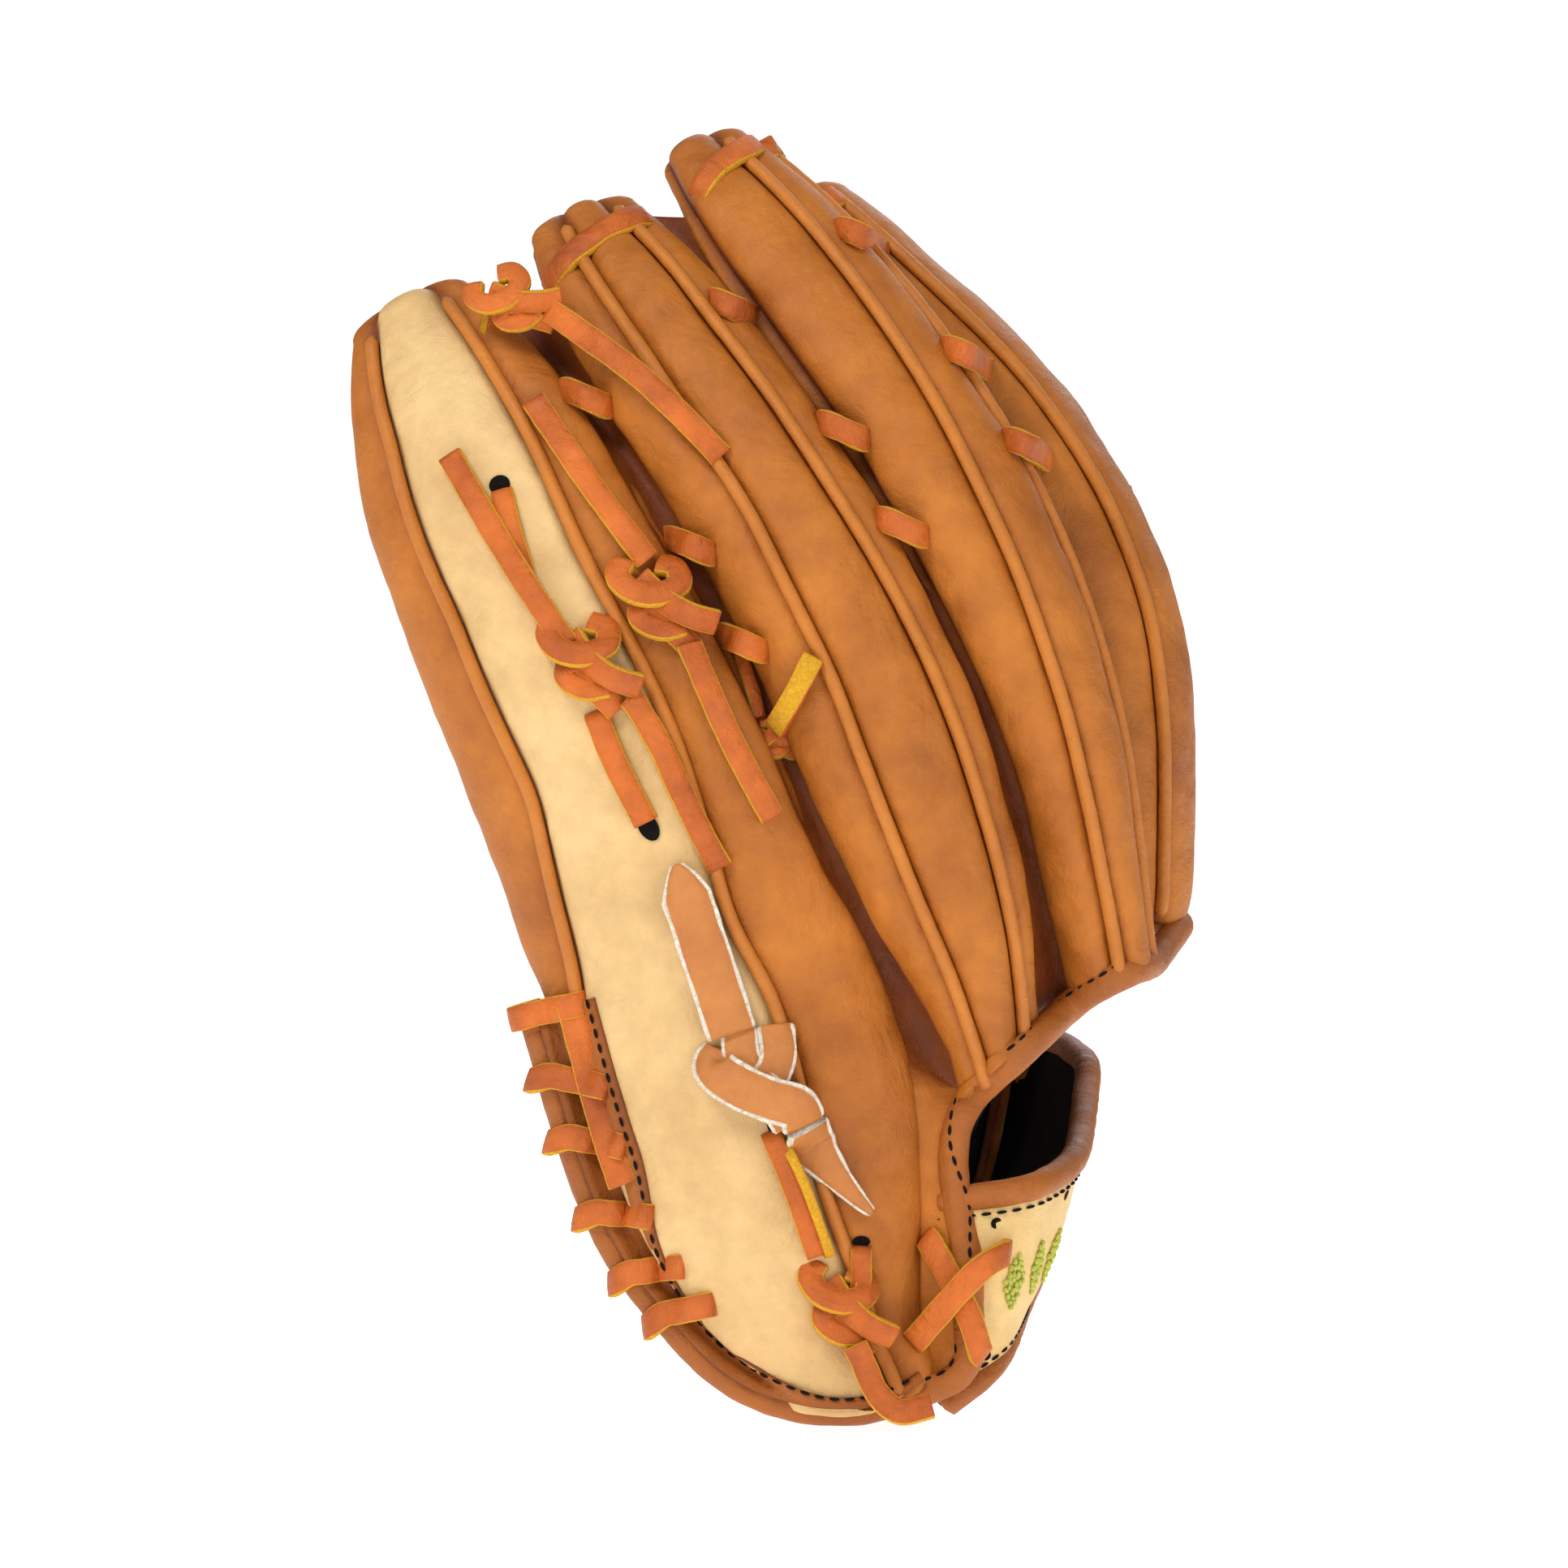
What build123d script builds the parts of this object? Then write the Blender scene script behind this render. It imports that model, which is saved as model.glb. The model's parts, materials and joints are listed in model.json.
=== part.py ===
"""Baseball glove for the left hand, standing on its heel with the finger backs facing -Y.

Millimetres, +Z up.  The origin is the middle of the hand opening at the heel.
Each finger is a tube of separate leather panels, a felt pad and a lining, lofted
over hand-measured stations.  The palm, web, strap, bindings, welts and laces are
separate pieces placed around them.
"""

from math import cos, degrees, hypot, radians, sin
import os
from functools import lru_cache

from build123d import *

# ---------------------------------------------------------------- main dimensions
OPENING_CENTRE = Vector(20, 64, 3)   # hand opening centre in layout coordinates
LEATHER = 2.0                        # shell leather thickness
PAD_OUT = 3.2                        # felt pad, outer and inner depth below the shell
PAD_IN = 5.2
LINING_OUT = 6.4                     # lining, outer and inner depth below the shell
LINING_IN = 7.2
WELT_RADIUS = 1.2                    # piping along the back seams
WELT_GAP = 2.1                       # clear half-width left in a seam for its welt
LACE_WIDTH = 5.5
LACE_THICK = 2.2
STRAP_THICK = 2.6
BINDING_RADIUS = 3.1
TAIL_LIFT = 4.0                      # height of lace middles above the panel surface

FOLD_BASE = Vector(0, 64, 3)         # fold line of the pocket, heel end
FOLD_TOP = Vector(68, 84, 165)       # fold line of the pocket, web end

# Stations from heel or knuckle to tip:
# x, y, z, half width, half depth, turn of the width direction, left seam, right seam
PINKY = (
    (7, 14, 6.8, 9.5, 4.2, 0, 190, 300),
    (6.5, 14, 12, 19, 6.5, 0, 190, 298),
    (3, 14, 22, 24.5, 9, 0, 190, 294),
    (-6.5, 14, 44, 33, 13, 0, 190, 288),
    (-12.6, 13, 66, 36.5, 14.5, 0, 190, 287),
    (-18.5, 12, 88, 38, 15, -10, 216, 292),
    (-28, 10, 107, 35.5, 15, -18, 232, 297),
    (-42.5, 8, 146, 35, 15, -20, 243, 303),
    (-62, 10, 184.5, 31.2, 15, -20, 240, 305),
    (-78.5, 20, 220.5, 26.5, 13, -20, 238, 306),
    (-88, 30, 240, 18, 9.5, -20, 238, 306),
    (-91, 34, 248, 9.5, 5.5, -20, 238, 306),
)
RING = (
    (40.5, 12, 82, 8.5, 11, 0, 250, 318),
    (35.5, 6, 101.7, 13.5, 14, 0, 250, 318),
    (24, 1, 132.3, 20, 15, 0, 251, 316),
    (10.5, 0, 166.5, 20, 15, 0, 251, 312),
    (-8.4, 4, 202.5, 19, 15, 0, 249, 304),
    (-31.5, 14, 234.9, 18.5, 14, 0, 248, 303),
    (-48.2, 27, 258.3, 16, 10, 0, 248, 303),
    (-54, 35, 267, 9, 5.5, 0, 248, 303),
)
MIDDLE = (
    (64.5, 20, 104, 9.5, 12, 25, 256, 330),
    (60, 14, 128.7, 11.5, 13, 25, 256, 332),
    (53.2, 10, 155.7, 14, 13.5, 25, 258, 332),
    (40.6, 9, 188.1, 17, 13.5, 25, 262, 324),
    (22, 13, 222.3, 17.3, 13.5, 25, 265, 320),
    (-0.8, 23, 252.9, 17.3, 12, 25, 272, 324),
    (-19.4, 37, 275.4, 15.2, 9.5, 25, 273, 324),
    (-25.2, 46, 283.5, 9, 5.5, 25, 273, 324),
)
INDEX = (
    (71, 47, 109, 15, 11, 65, 248, 320),
    (70.5, 44, 125, 17.5, 13, 65, 248, 320),
    (70, 43, 150, 18.5, 14, 65, 248, 320),
    (67, 43, 175, 18.5, 14.5, 65, 248, 320),
    (57.5, 46, 200, 18.5, 14.5, 65, 248, 320),
    (41, 51, 225, 18.5, 14, 65, 248, 320),
    (20, 57, 248, 17.5, 12, 65, 248, 320),
    (4, 64, 266, 14, 9.2, 65, 248, 320),
    (-2, 68, 274, 8.5, 5.5, 65, 248, 320),
)
THUMB = (
    (9, 123, 8.5, 9, 4.2, 180, 225, 300),
    (8, 123, 14, 18, 6.5, 178, 225, 300),
    (7, 123, 24, 27, 9, 172, 224, 300),
    (5, 123, 44, 37, 13, 165, 226, 300),
    (9, 123, 71, 38, 14.5, 165, 230, 300),
    (16, 123, 105, 35.5, 15, 165, 236, 302),
    (20, 123, 145, 31, 15, 165, 240, 304),
    (17, 123, 180, 28, 14, 165, 240, 304),
    (8, 122, 204, 22.5, 11.5, 165, 240, 304),
    (2, 121, 216, 15, 8, 165, 240, 304),
    (0, 120, 221, 8.5, 5.5, 165, 240, 304),
)

# Palm levels: z, left edge of the finger half, left edge of the thumb half, fold bottom
PALM = [
    (7, -12, -9, 4),
    (25, -27, -24, 12),
    (50, -43, -30, 24),
    (80, -54, -26, 39),
    (104, -61, -17, 50),
]
PALM_FINGER_Y = 31.5                 # pocket face of the palm behind the fingers
PALM_THUMB_Y = 103                   # pocket face of the palm in front of the thumb
FOLD_GAP = 4                         # degrees left open each side of the fold

# Web levels: z, index edge x and y, bulged middle x and y, thumb edge x and y
WEB = [
    (112, 81, 64, 80, 87, 57, 113),
    (147, 81, 64, 84, 88, 54, 115),
    (180, 77, 66, 79, 90, 49, 116),
    (208, 63, 71, 65, 92, 36, 117),
]

# Wrist strap: lower edge point and upper edge point at stations round the wrist
STRAP = [
    ((33.5, -1, 4), (38, -3.5, 50)),
    ((40, 9, 11), (52, 3, 53)),
    ((43.5, 32, 15), (60, 28, 57)),
    ((45.5, 56, 17), (62.5, 56, 63)),
]
STRAP_TAB = [
    ((46, 70, 18), (64.5, 72, 70)),
    ((45.5, 88, 17), (65, 92, 79)),
    ((41, 104, 14), (60.5, 110, 83)),
    ((36, 117, 12), (55, 122, 84)),
]

# Centre line of the roll binding round the heel and back opening: x, z
HEEL_EDGE = [(27, 8), (17, 2.2), (5, 0.6), (-9, 3), (-24, 12), (-32, 21), (-41, 32),
             (-47.5, 44), (-53, 58.5), (-58, 75), (-63, 93)]
OPENING_EDGE = [(80, 101), (71, 99), (61.5, 94), (52, 86), (43, 78), (36, 71.5),
                (31.6, 64), (30.4, 54), (31.2, 43), (32.6, 32), (32.4, 20), (30.5, 13)]
THUMB_EDGE = [(29, 9), (18, 3.5), (7, 2), (-6, 4.5), (-17, 12), (-26, 22), (-33, 36),
              (-36, 50), (-34.5, 66), (-30.5, 84)]


# Back panels: name, section angle or seam at each side
THREE_PANELS = [("left", 190, "left"), ("centre", "left", "right"), ("right", "right", 357)]
TWO_PANELS = [("left", 190, "left"), ("right", "left", 357)]

# Fingers: name, stations, first station of the palm-side shell, first station of the
# left seam, back panels
FINGERS = [
    ("pinky", PINKY, 6, 5, THREE_PANELS),
    ("ring", RING, 2, 0, THREE_PANELS),
    ("middle", MIDDLE, 1, 0, THREE_PANELS),
    ("index", INDEX, 0, 0, TWO_PANELS),
]

# Tails: name, finger they lie on, x and z places from the knot outwards
TAILS = [
    ("tail_a_upper", PINKY, [(-55, 173), (-66, 190), (-80, 214)]),
    ("tail_a_lower", PINKY, [(-39, 158), (-30, 140), (-19.5, 121)]),
    ("tail_b_upper", PINKY, [(-38, 191), (-50, 207), (-62, 226)]),
    ("tail_b_lower", PINKY, [(-26.5, 169), (-18, 151), (-9, 132)]),
    ("tail_tip", RING, [(-57, 246), (-37, 228), (-19, 212)]),
    ("tail_heel", PINKY, [(10, 15), (12, 11.5), (15, 8)]),
    ("tail_pull", PINKY, [(-1, 62), (5, 54), (11, 47)]),
]

# Knots: finger they lie on, x, z, width, height
KNOTS = [
    (PINKY, -48, 167, 16, 14),
    (PINKY, -32.5, 180, 15, 14),
    (PINKY, -9, 150, 8, 9),
    (PINKY, 8, 24, 15, 13),
]

# Stubs of the laces between neighbouring fingers: left finger, right finger, x, z
CROTCH_STUBS = [
    (PINKY, RING, -50, 226), (PINKY, RING, -27, 193), (PINKY, RING, -15.5, 171.5),
    (RING, MIDDLE, -17, 246), (RING, MIDDLE, 7, 218.5), (RING, MIDDLE, 20, 197),
    (MIDDLE, INDEX, 11.5, 262.5), (MIDDLE, INDEX, 35, 235.5), (MIDDLE, INDEX, 48.5, 215),
]

TIP_LACE = [(-90, 37, 254), (-72, 37, 264), (-54, 38, 273), (-39, 43, 282), (-25, 49, 290),
            (-12, 58, 288), (-3, 68, 281)]

# Heel lacing loops over the roll binding: x, z
HEEL_LOOPS = [(-58.5, 90), (-52.5, 76), (-46.5, 63), (-41, 47), (-34, 34), (-28, 24)]

# Crossed lace at the strap's end: x, z of both ends
STRAP_CROSS = [(26, 38, 37, 22)]


# ---------------------------------------------------------------- helpers
def place(x, y, z):
    """Layout coordinates to part coordinates."""
    return Vector(x, y, z) - OPENING_CENTRE


@lru_cache(maxsize=None)
def station_plane(rows, index):
    """Cross-section plane at one station, square to the finger's middle line."""
    here = Vector(*rows[index][:3])
    before = Vector(*rows[max(index - 1, 0)][:3])
    after = Vector(*rows[min(index + 1, len(rows) - 1)][:3])
    along = (after - before).normalized()
    turn = radians(rows[index][5])
    across = Vector(cos(turn), sin(turn), 0)
    across = (across - along * across.dot(along)).normalized()
    return Plane(origin=place(*rows[index][:3]), x_dir=across, z_dir=along)


def panel(rows, first, last, start, end, outer, inner, seam=0.0):
    """One lofted panel of a finger between two section angles and two depths.

    start and end are angles, or "left" / "right" for the seams listed in the rows.
    The panel stops `seam` millimetres short of each listed seam.
    """
    with BuildPart() as piece:
        for index in range(first, last + 1):
            row = rows[index]
            half_width = row[3]
            half_depth = row[4]
            seams = {"left": row[6], "right": row[7]}
            begin = seams.get(start, start)
            finish = seams.get(end, end)
            if start in seams:
                begin = begin + edge_angle(half_width, half_depth, begin, seam)
            if end in seams:
                finish = finish - edge_angle(half_width, half_depth, finish, seam)
            with BuildSketch(station_plane(rows, index)):
                with BuildLine():
                    face = EllipticalCenterArc((0, 0), half_width - outer, half_depth - outer,
                                               begin, arc_size=finish - begin)
                    back = EllipticalCenterArc((0, 0), half_width - inner, half_depth - inner,
                                               begin, arc_size=finish - begin)
                    Line(face @ 0, back @ 0)
                    Line(face @ 1, back @ 1)
                make_face()
        loft(ruled=True)
    return piece


def edge_angle(half_width, half_depth, angle, distance):
    """Angle that covers a distance along an ellipse at the given angle."""
    speed = hypot(half_width * sin(radians(angle)), half_depth * cos(radians(angle)))
    return degrees(distance / max(speed, 1.0))


def section_point(rows, index, angle, lift):
    """Point at an angle on a station's ellipse, lifted off the surface."""
    plane = station_plane(rows, index)
    turn = radians(angle)
    return (plane.origin + plane.x_dir * ((rows[index][3] + lift) * cos(turn))
            + plane.y_dir * ((rows[index][4] + lift) * sin(turn)))


def welt(rows, first, last, side):
    """Piping in a back seam: a round cord half sunk between two panels."""
    column = 6 if side == "left" else 7
    with BuildPart() as piece:
        for index in range(first, last + 1):
            plane = station_plane(rows, index)
            middle = section_point(rows, index, rows[index][column], -0.6)
            with BuildSketch(Plane(origin=middle, x_dir=plane.x_dir, z_dir=plane.z_dir)):
                Circle(WELT_RADIUS)
        loft(ruled=True)
    return piece


def cord(points, radius):
    """Round cord swept along a spline."""
    with BuildPart() as piece:
        with BuildLine() as path:
            Spline(*points)
        with BuildSketch(Plane(origin=path.line @ 0, z_dir=path.line % 0)):
            Circle(radius)
        sweep(transition=Transition.ROUND)
    return piece


def ribbon(points, facing, width, thick, widths=None):
    """Flat strip lofted through points, its face turned towards `facing`."""
    with BuildPart() as piece:
        for index, here in enumerate(points):
            before = points[max(index - 1, 0)]
            after = points[min(index + 1, len(points) - 1)]
            along = (after - before).normalized()
            across = along.cross(Vector(*facing)).normalized()
            with BuildSketch(Plane(origin=here, x_dir=across, z_dir=along)):
                Rectangle(widths[index] if widths else width, thick)
        loft()
    return piece


def joined(*pieces):
    """Several separate solids kept as one group."""
    with BuildPart() as group:
        for piece in pieces:
            add(piece.part)
    return group


def surface_point(rows, station, angle, lift):
    """Point off a finger's surface at a fractional station and a section angle."""
    first = min(int(station), len(rows) - 2)
    share = station - first
    low = section_point(rows, first, angle, lift)
    high = section_point(rows, first + 1, angle, lift)
    return low + (high - low) * share


def back_point(rows, x, z, lift):
    """Point above a finger's back at a place seen square from the back."""
    target = place(x, 0, z)
    station = next(i for i in range(len(rows)) if rows[i][2] >= z or i == len(rows) - 1) - 0.5
    angle = 270.0
    for _ in range(12):
        here = surface_point(rows, station, angle, lift)
        turned = surface_point(rows, station, angle + 1, lift) - here
        moved = surface_point(rows, station + 0.01, angle, lift) - here
        gap = target - here
        scale = turned.X * moved.Z - turned.Z * moved.X
        angle += max(min((gap.X * moved.Z - gap.Z * moved.X) / scale, 15), -15)
        station += 0.01 * (turned.X * gap.Z - turned.Z * gap.X) / scale
        angle = max(min(angle, 350), 190)
        station = max(min(station, len(rows) - 1.01), 0)
    return surface_point(rows, station, angle, lift)


def over(rows, spots, lift=TAIL_LIFT):
    """Points above a finger's back at the listed x, z places."""
    return [back_point(rows, x, z, lift) for x, z in spots]


def save(piece, name):
    """Name a finished piece and write it out."""
    piece.part.label = name
    export_step(piece.part, "parts/" + name + ".step")


# ---------------------------------------------------------------- finger tubes
def make_shell(name, rows, first_front, first_left, parts):
    """Leather of one finger tube: back panels between the seams, and the front."""
    last = len(rows) - 1
    for suffix, start, end in parts:
        first = first_left if suffix == "left" else 0
        save(panel(rows, first, last, start, end, 0, LEATHER, WELT_GAP),
             name + "_back_" + suffix)
    save(panel(rows, first_front, last, 3, 177, 0, LEATHER), name + "_front")


def pad(rows, first_front):
    """Felt pad inside the palm side of a finger tube."""
    return panel(rows, first_front, len(rows) - 2, 20, 160, PAD_OUT, PAD_IN)


def lining(rows, first_front):
    """Thin lining sleeve of a finger tube, open along one seam."""
    return panel(rows, first_front, len(rows) - 2, 100, 440, LINING_OUT, LINING_IN)


def make_fingers():
    for name, rows, first_front, first_left, parts in FINGERS:
        make_shell(name, rows, first_front, first_left, parts)
    save(joined(*[pad(rows, front) for _, rows, front, _, _ in FINGERS]), "finger_pads")
    save(joined(*[lining(rows, front) for _, rows, front, _, _ in FINGERS]),
         "finger_linings")
    welts = [welt(rows, left, len(rows) - 1, "left") for _, rows, _, left, _ in FINGERS]
    welts += [welt(rows, 0, len(rows) - 1, "right") for _, rows, _, _, _ in FINGERS[:3]]
    save(joined(*welts), "finger_welts")
    save(panel(PINKY, 1, 10, 250, 280, 3.3, 4.9), "pinky_stay")


def make_thumb():
    last = len(THUMB) - 1
    make_shell("thumb", THUMB, 5, 0, THREE_PANELS)
    save(pad(THUMB, 5), "thumb_pad")
    save(lining(THUMB, 5), "thumb_lining")
    save(joined(welt(THUMB, 0, last, "left"), welt(THUMB, 0, last, "right")), "thumb_welts")
    save(panel(THUMB, 1, 9, 255, 285, 3.3, 4.9), "thumb_stay")


# ---------------------------------------------------------------- palm
def fold_y(z):
    """Depth of the fold line at a height."""
    return FOLD_BASE.Y + (FOLD_TOP.Y - FOLD_BASE.Y) * (z - FOLD_BASE.Z) / (FOLD_TOP.Z - FOLD_BASE.Z)


def palm_sheet(finger_half, levels, near, far):
    """One layer of the palm on one side of the fold, from heel to finger roots."""
    with BuildPart() as piece:
        for z, finger_left, thumb_left, bottom in levels:
            left = finger_left if finger_half else thumb_left
            middle = fold_y(z)
            depth = middle - PALM_FINGER_Y if finger_half else PALM_THUMB_Y - middle
            start, end = (270, 360 - FOLD_GAP) if finger_half else (FOLD_GAP, 90)
            reach = bottom - left
            with BuildSketch(Plane(origin=place(left, middle, z), z_dir=(0, 0, 1))):
                with BuildLine():
                    inner = EllipticalCenterArc((0, 0), reach + near, depth + near, start,
                                                arc_size=end - start)
                    outer = EllipticalCenterArc((0, 0), reach + far, depth + far, start,
                                                arc_size=end - start)
                    Line(inner @ 0, outer @ 0)
                    Line(inner @ 1, outer @ 1)
                make_face()
        loft(ruled=True)
    return piece


def make_palm():
    save(palm_sheet(True, PALM, 0, LEATHER), "palm_fingers")
    save(palm_sheet(False, PALM, 0, LEATHER), "palm_thumb")
    save(palm_sheet(True, PALM[:4], 3.0, 6.2), "palm_pad_fingers")
    save(palm_sheet(False, PALM[:4], 3.0, 6.2), "palm_pad_thumb")
    save(palm_sheet(True, PALM[:4], 7.0, 7.8), "palm_lining_fingers")
    save(palm_sheet(False, PALM[:4], 7.0, 7.8), "palm_lining_thumb")


# ---------------------------------------------------------------- bindings
def make_bindings():
    heel = [place(x, 14, z) for x, z in HEEL_EDGE]
    save(cord(heel, BINDING_RADIUS), "heel_binding")
    opening = [place(x, opening_depth(x, z), z) for x, z in OPENING_EDGE]
    save(cord(opening, BINDING_RADIUS), "opening_binding")
    thumb = [place(x, 123 + max(0, 8 - x) * 0.18, z) for x, z in THUMB_EDGE]
    save(cord(thumb, BINDING_RADIUS), "thumb_binding")


def opening_depth(x, z):
    """Depth of the back opening's edge, deeper towards the index finger."""
    return 14 + max(0, x - 48) * 0.75 if z > 60 else 14


# ---------------------------------------------------------------- web
def web_point(z, share):
    """Point of the web surface: share 0 at the index edge, 1 at the thumb edge."""
    upper = 1
    while upper < len(WEB) - 1 and WEB[upper][0] < z:
        upper += 1
    low = WEB[upper - 1]
    high = WEB[upper]
    mix = (z - low[0]) / (high[0] - low[0])
    row = [low[i] + (high[i] - low[i]) * mix for i in range(7)]
    index_edge = Vector(row[1], row[2], z)
    middle = Vector(row[3], row[4], z)
    thumb_edge = Vector(row[5], row[6], z)
    control = middle * 2 - (index_edge + thumb_edge) * 0.5
    flat = (index_edge * (1 - share) ** 2 + control * (2 * share * (1 - share))
            + thumb_edge * share ** 2)
    return place(flat.X, flat.Y, flat.Z)


def web_rungs(levels, start, end):
    """Flat lace rungs across part of the web."""
    rungs = []
    for z in levels:
        points = [web_point(z + 2 * step, start + (end - start) * step / 2)
                  for step in range(3)]
        rungs.append(ribbon(points, (1, 0.2, 0), LACE_WIDTH, LACE_THICK))
    return joined(*rungs)


def make_web():
    post = [web_point(z, 0.5) for z in (116, 135, 155, 175, 186)]
    save(ribbon(post, (1, 0.2, 0), 22, 3.0), "web_post")
    bar = [web_point(199, share) for share in (0.04, 0.25, 0.5, 0.75, 0.96)]
    save(ribbon(bar, (1, 0.2, 0), 20, 3.0), "web_bar")
    save(web_rungs((119, 133, 147, 161, 175), 0.07, 0.225), "web_lace_index")
    save(web_rungs((119, 133, 147, 161, 175), 0.76, 0.94), "web_lace_thumb")


# ---------------------------------------------------------------- wrist strap
def band(rows, thick, lift, low, high):
    """Strip round the wrist between two shares of the strap's height."""
    with BuildPart() as piece:
        lower = [place(*row[0]) for row in rows]
        upper = [place(*row[1]) for row in rows]
        middles = [(a + b) * 0.5 for a, b in zip(lower, upper)]
        for index in range(len(rows)):
            before = middles[max(index - 1, 0)]
            after = middles[min(index + 1, len(rows) - 1)]
            along = (after - before).normalized()
            rise = (upper[index] - lower[index])
            up = (rise - along * rise.dot(along)).normalized()
            start = lower[index] + rise * low
            finish = lower[index] + rise * high
            plane = Plane(origin=(start + finish) * 0.5, x_dir=up, z_dir=along)
            height = (finish - start).length
            with BuildSketch(plane):
                with Locations((0, lift)):
                    Rectangle(height, thick)
        loft(ruled=True)
    return piece


def strap_edge(rows, share, side):
    """Roll binding along one edge of the strap."""
    points = [place(*row[0]) + (place(*row[1]) - place(*row[0])) * share for row in rows]
    return cord(points, side)


def make_strap():
    save(band(STRAP, STRAP_THICK, 0, 0.13, 0.87), "wrist_strap")
    save(band(STRAP, 2.0, -3.2, 0.15, 0.85), "strap_padding")
    save(joined(strap_edge(STRAP, 0.0, 2.1), strap_edge(STRAP, 1.0, 2.1)),
         "strap_bindings")
    save(band(STRAP_TAB, STRAP_THICK, 0, 0.13, 0.87), "strap_tab")
    save(joined(strap_edge(STRAP_TAB, 0.0, 2.1), strap_edge(STRAP_TAB, 1.0, 2.1)),
         "strap_tab_bindings")


# ---------------------------------------------------------------- laces
def knot(centre, width, height, thick):
    """Square knot: two flat wraps crossing over each other."""
    corner = min(width, height) * 0.2
    with BuildPart() as piece:
        with BuildSketch(Plane(origin=centre, x_dir=(1, 0, 0), z_dir=(0, -1, 0))):
            RectangleRounded(width, height * 0.62, corner, rotation=25)
        extrude(amount=thick / 2, both=True)
        with BuildSketch(Plane(origin=centre, x_dir=(1, 0, 0), z_dir=(0, -1, 0))):
            RectangleRounded(width * 0.55, height * 0.95, corner, rotation=-50)
        extrude(amount=thick * 0.62, both=True)
    return piece


def make_laces():
    for name, rows, spots in TAILS:
        save(ribbon(over(rows, spots), (0, -1, 0), LACE_WIDTH, LACE_THICK), name)
    knots = [knot(back_point(rows, x, z, 6.4), width, height, 6.0)
             for rows, x, z, width, height in KNOTS]
    save(joined(*knots), "lace_knots")
    stubs = []
    for left, right, x, z in CROTCH_STUBS:
        front = min(back_point(left, x - 4.5, z, 3).Y, back_point(right, x + 4.5, z, 3).Y)
        spot = Vector(place(x, 0, z).X, front, place(x, 0, z).Z)
        stubs.append(ribbon([spot + Vector(-4, 0, 0), spot, spot + Vector(4, 0, 0)],
                            (0, -1, 0), LACE_WIDTH, LACE_THICK))
    save(joined(*stubs), "crotch_laces")
    save(ribbon([place(*spot) for spot in TIP_LACE], (0, 1, 0.2), LACE_WIDTH, LACE_THICK),
         "tip_lace")
    loops = [ribbon([place(x - 6, 6, z - 1), place(x - 2, 5, z), place(x + 1.5, 4.6, z + 1)],
                    (0, -1, 0), LACE_WIDTH, LACE_THICK) for x, z in HEEL_LOOPS]
    save(joined(*loops), "heel_lace")
    cross = [ribbon([place(x0, -8.5, z0), place((x0 + x1) / 2, -9, (z0 + z1) / 2),
                     place(x1, -8.5, z1)], (0, -1, 0), LACE_WIDTH, LACE_THICK)
             for x0, z0, x1, z1 in STRAP_CROSS]
    save(joined(*cross), "strap_lace")


def make_pull_strap():
    save(ribbon(over(PINKY, [(-31, 121), (-24, 108), (-16, 94)]), (0, -1, 0), 10, 2.4,
                [5, 10, 10]), "pull_strap")
    save(knot(back_point(PINKY, -11, 73, 7.2), 24, 18, 6.5), "pull_strap_knot")


os.makedirs("parts", exist_ok=True)
make_fingers()
make_thumb()
make_palm()
make_bindings()
make_web()
make_strap()
make_laces()
make_pull_strap()
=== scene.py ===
import json
import math

import bpy
import numpy as np
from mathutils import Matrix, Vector, noise
from mathutils.bvhtree import BVHTree


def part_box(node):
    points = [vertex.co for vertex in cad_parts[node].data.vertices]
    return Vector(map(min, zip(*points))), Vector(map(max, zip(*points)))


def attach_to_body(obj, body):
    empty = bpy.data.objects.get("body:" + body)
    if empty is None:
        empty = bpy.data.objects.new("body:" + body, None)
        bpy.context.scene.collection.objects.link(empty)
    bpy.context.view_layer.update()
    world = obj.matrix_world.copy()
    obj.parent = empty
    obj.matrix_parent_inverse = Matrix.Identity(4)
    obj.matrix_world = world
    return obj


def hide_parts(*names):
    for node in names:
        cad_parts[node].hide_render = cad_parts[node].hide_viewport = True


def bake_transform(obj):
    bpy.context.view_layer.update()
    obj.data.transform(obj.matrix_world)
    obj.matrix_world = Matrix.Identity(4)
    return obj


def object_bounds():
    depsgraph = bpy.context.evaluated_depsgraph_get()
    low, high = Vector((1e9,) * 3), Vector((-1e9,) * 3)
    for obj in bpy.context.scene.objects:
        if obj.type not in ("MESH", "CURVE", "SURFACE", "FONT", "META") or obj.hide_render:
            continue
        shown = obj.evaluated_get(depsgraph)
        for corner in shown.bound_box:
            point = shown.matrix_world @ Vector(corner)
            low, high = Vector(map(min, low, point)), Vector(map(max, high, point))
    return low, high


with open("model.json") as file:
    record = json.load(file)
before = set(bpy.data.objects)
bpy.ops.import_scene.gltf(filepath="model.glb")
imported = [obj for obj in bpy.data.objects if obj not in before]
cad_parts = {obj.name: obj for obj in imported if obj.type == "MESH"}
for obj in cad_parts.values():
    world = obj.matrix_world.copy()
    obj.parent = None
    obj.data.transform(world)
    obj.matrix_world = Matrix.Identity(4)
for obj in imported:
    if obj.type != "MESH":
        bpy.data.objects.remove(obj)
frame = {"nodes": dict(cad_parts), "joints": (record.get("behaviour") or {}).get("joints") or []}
CAD_LOW, CAD_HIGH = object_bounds()
NODES = frame["nodes"]
JOINTS = {j["name"]: j for j in frame["joints"]}
FOLD = JOINTS["pocket_close"]
FOLD_POS = np.array(FOLD["pos_m"], float)
FOLD_AXIS = np.array(FOLD["axis"], float)
MM = 0.001
BACK = np.array([0.0, -1.0, 0.0])      # the way the finger backs face
UP = np.array([0.0, 0.0, 1.0])
RIGHT = np.array([1.0, 0.0, 0.0])


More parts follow.
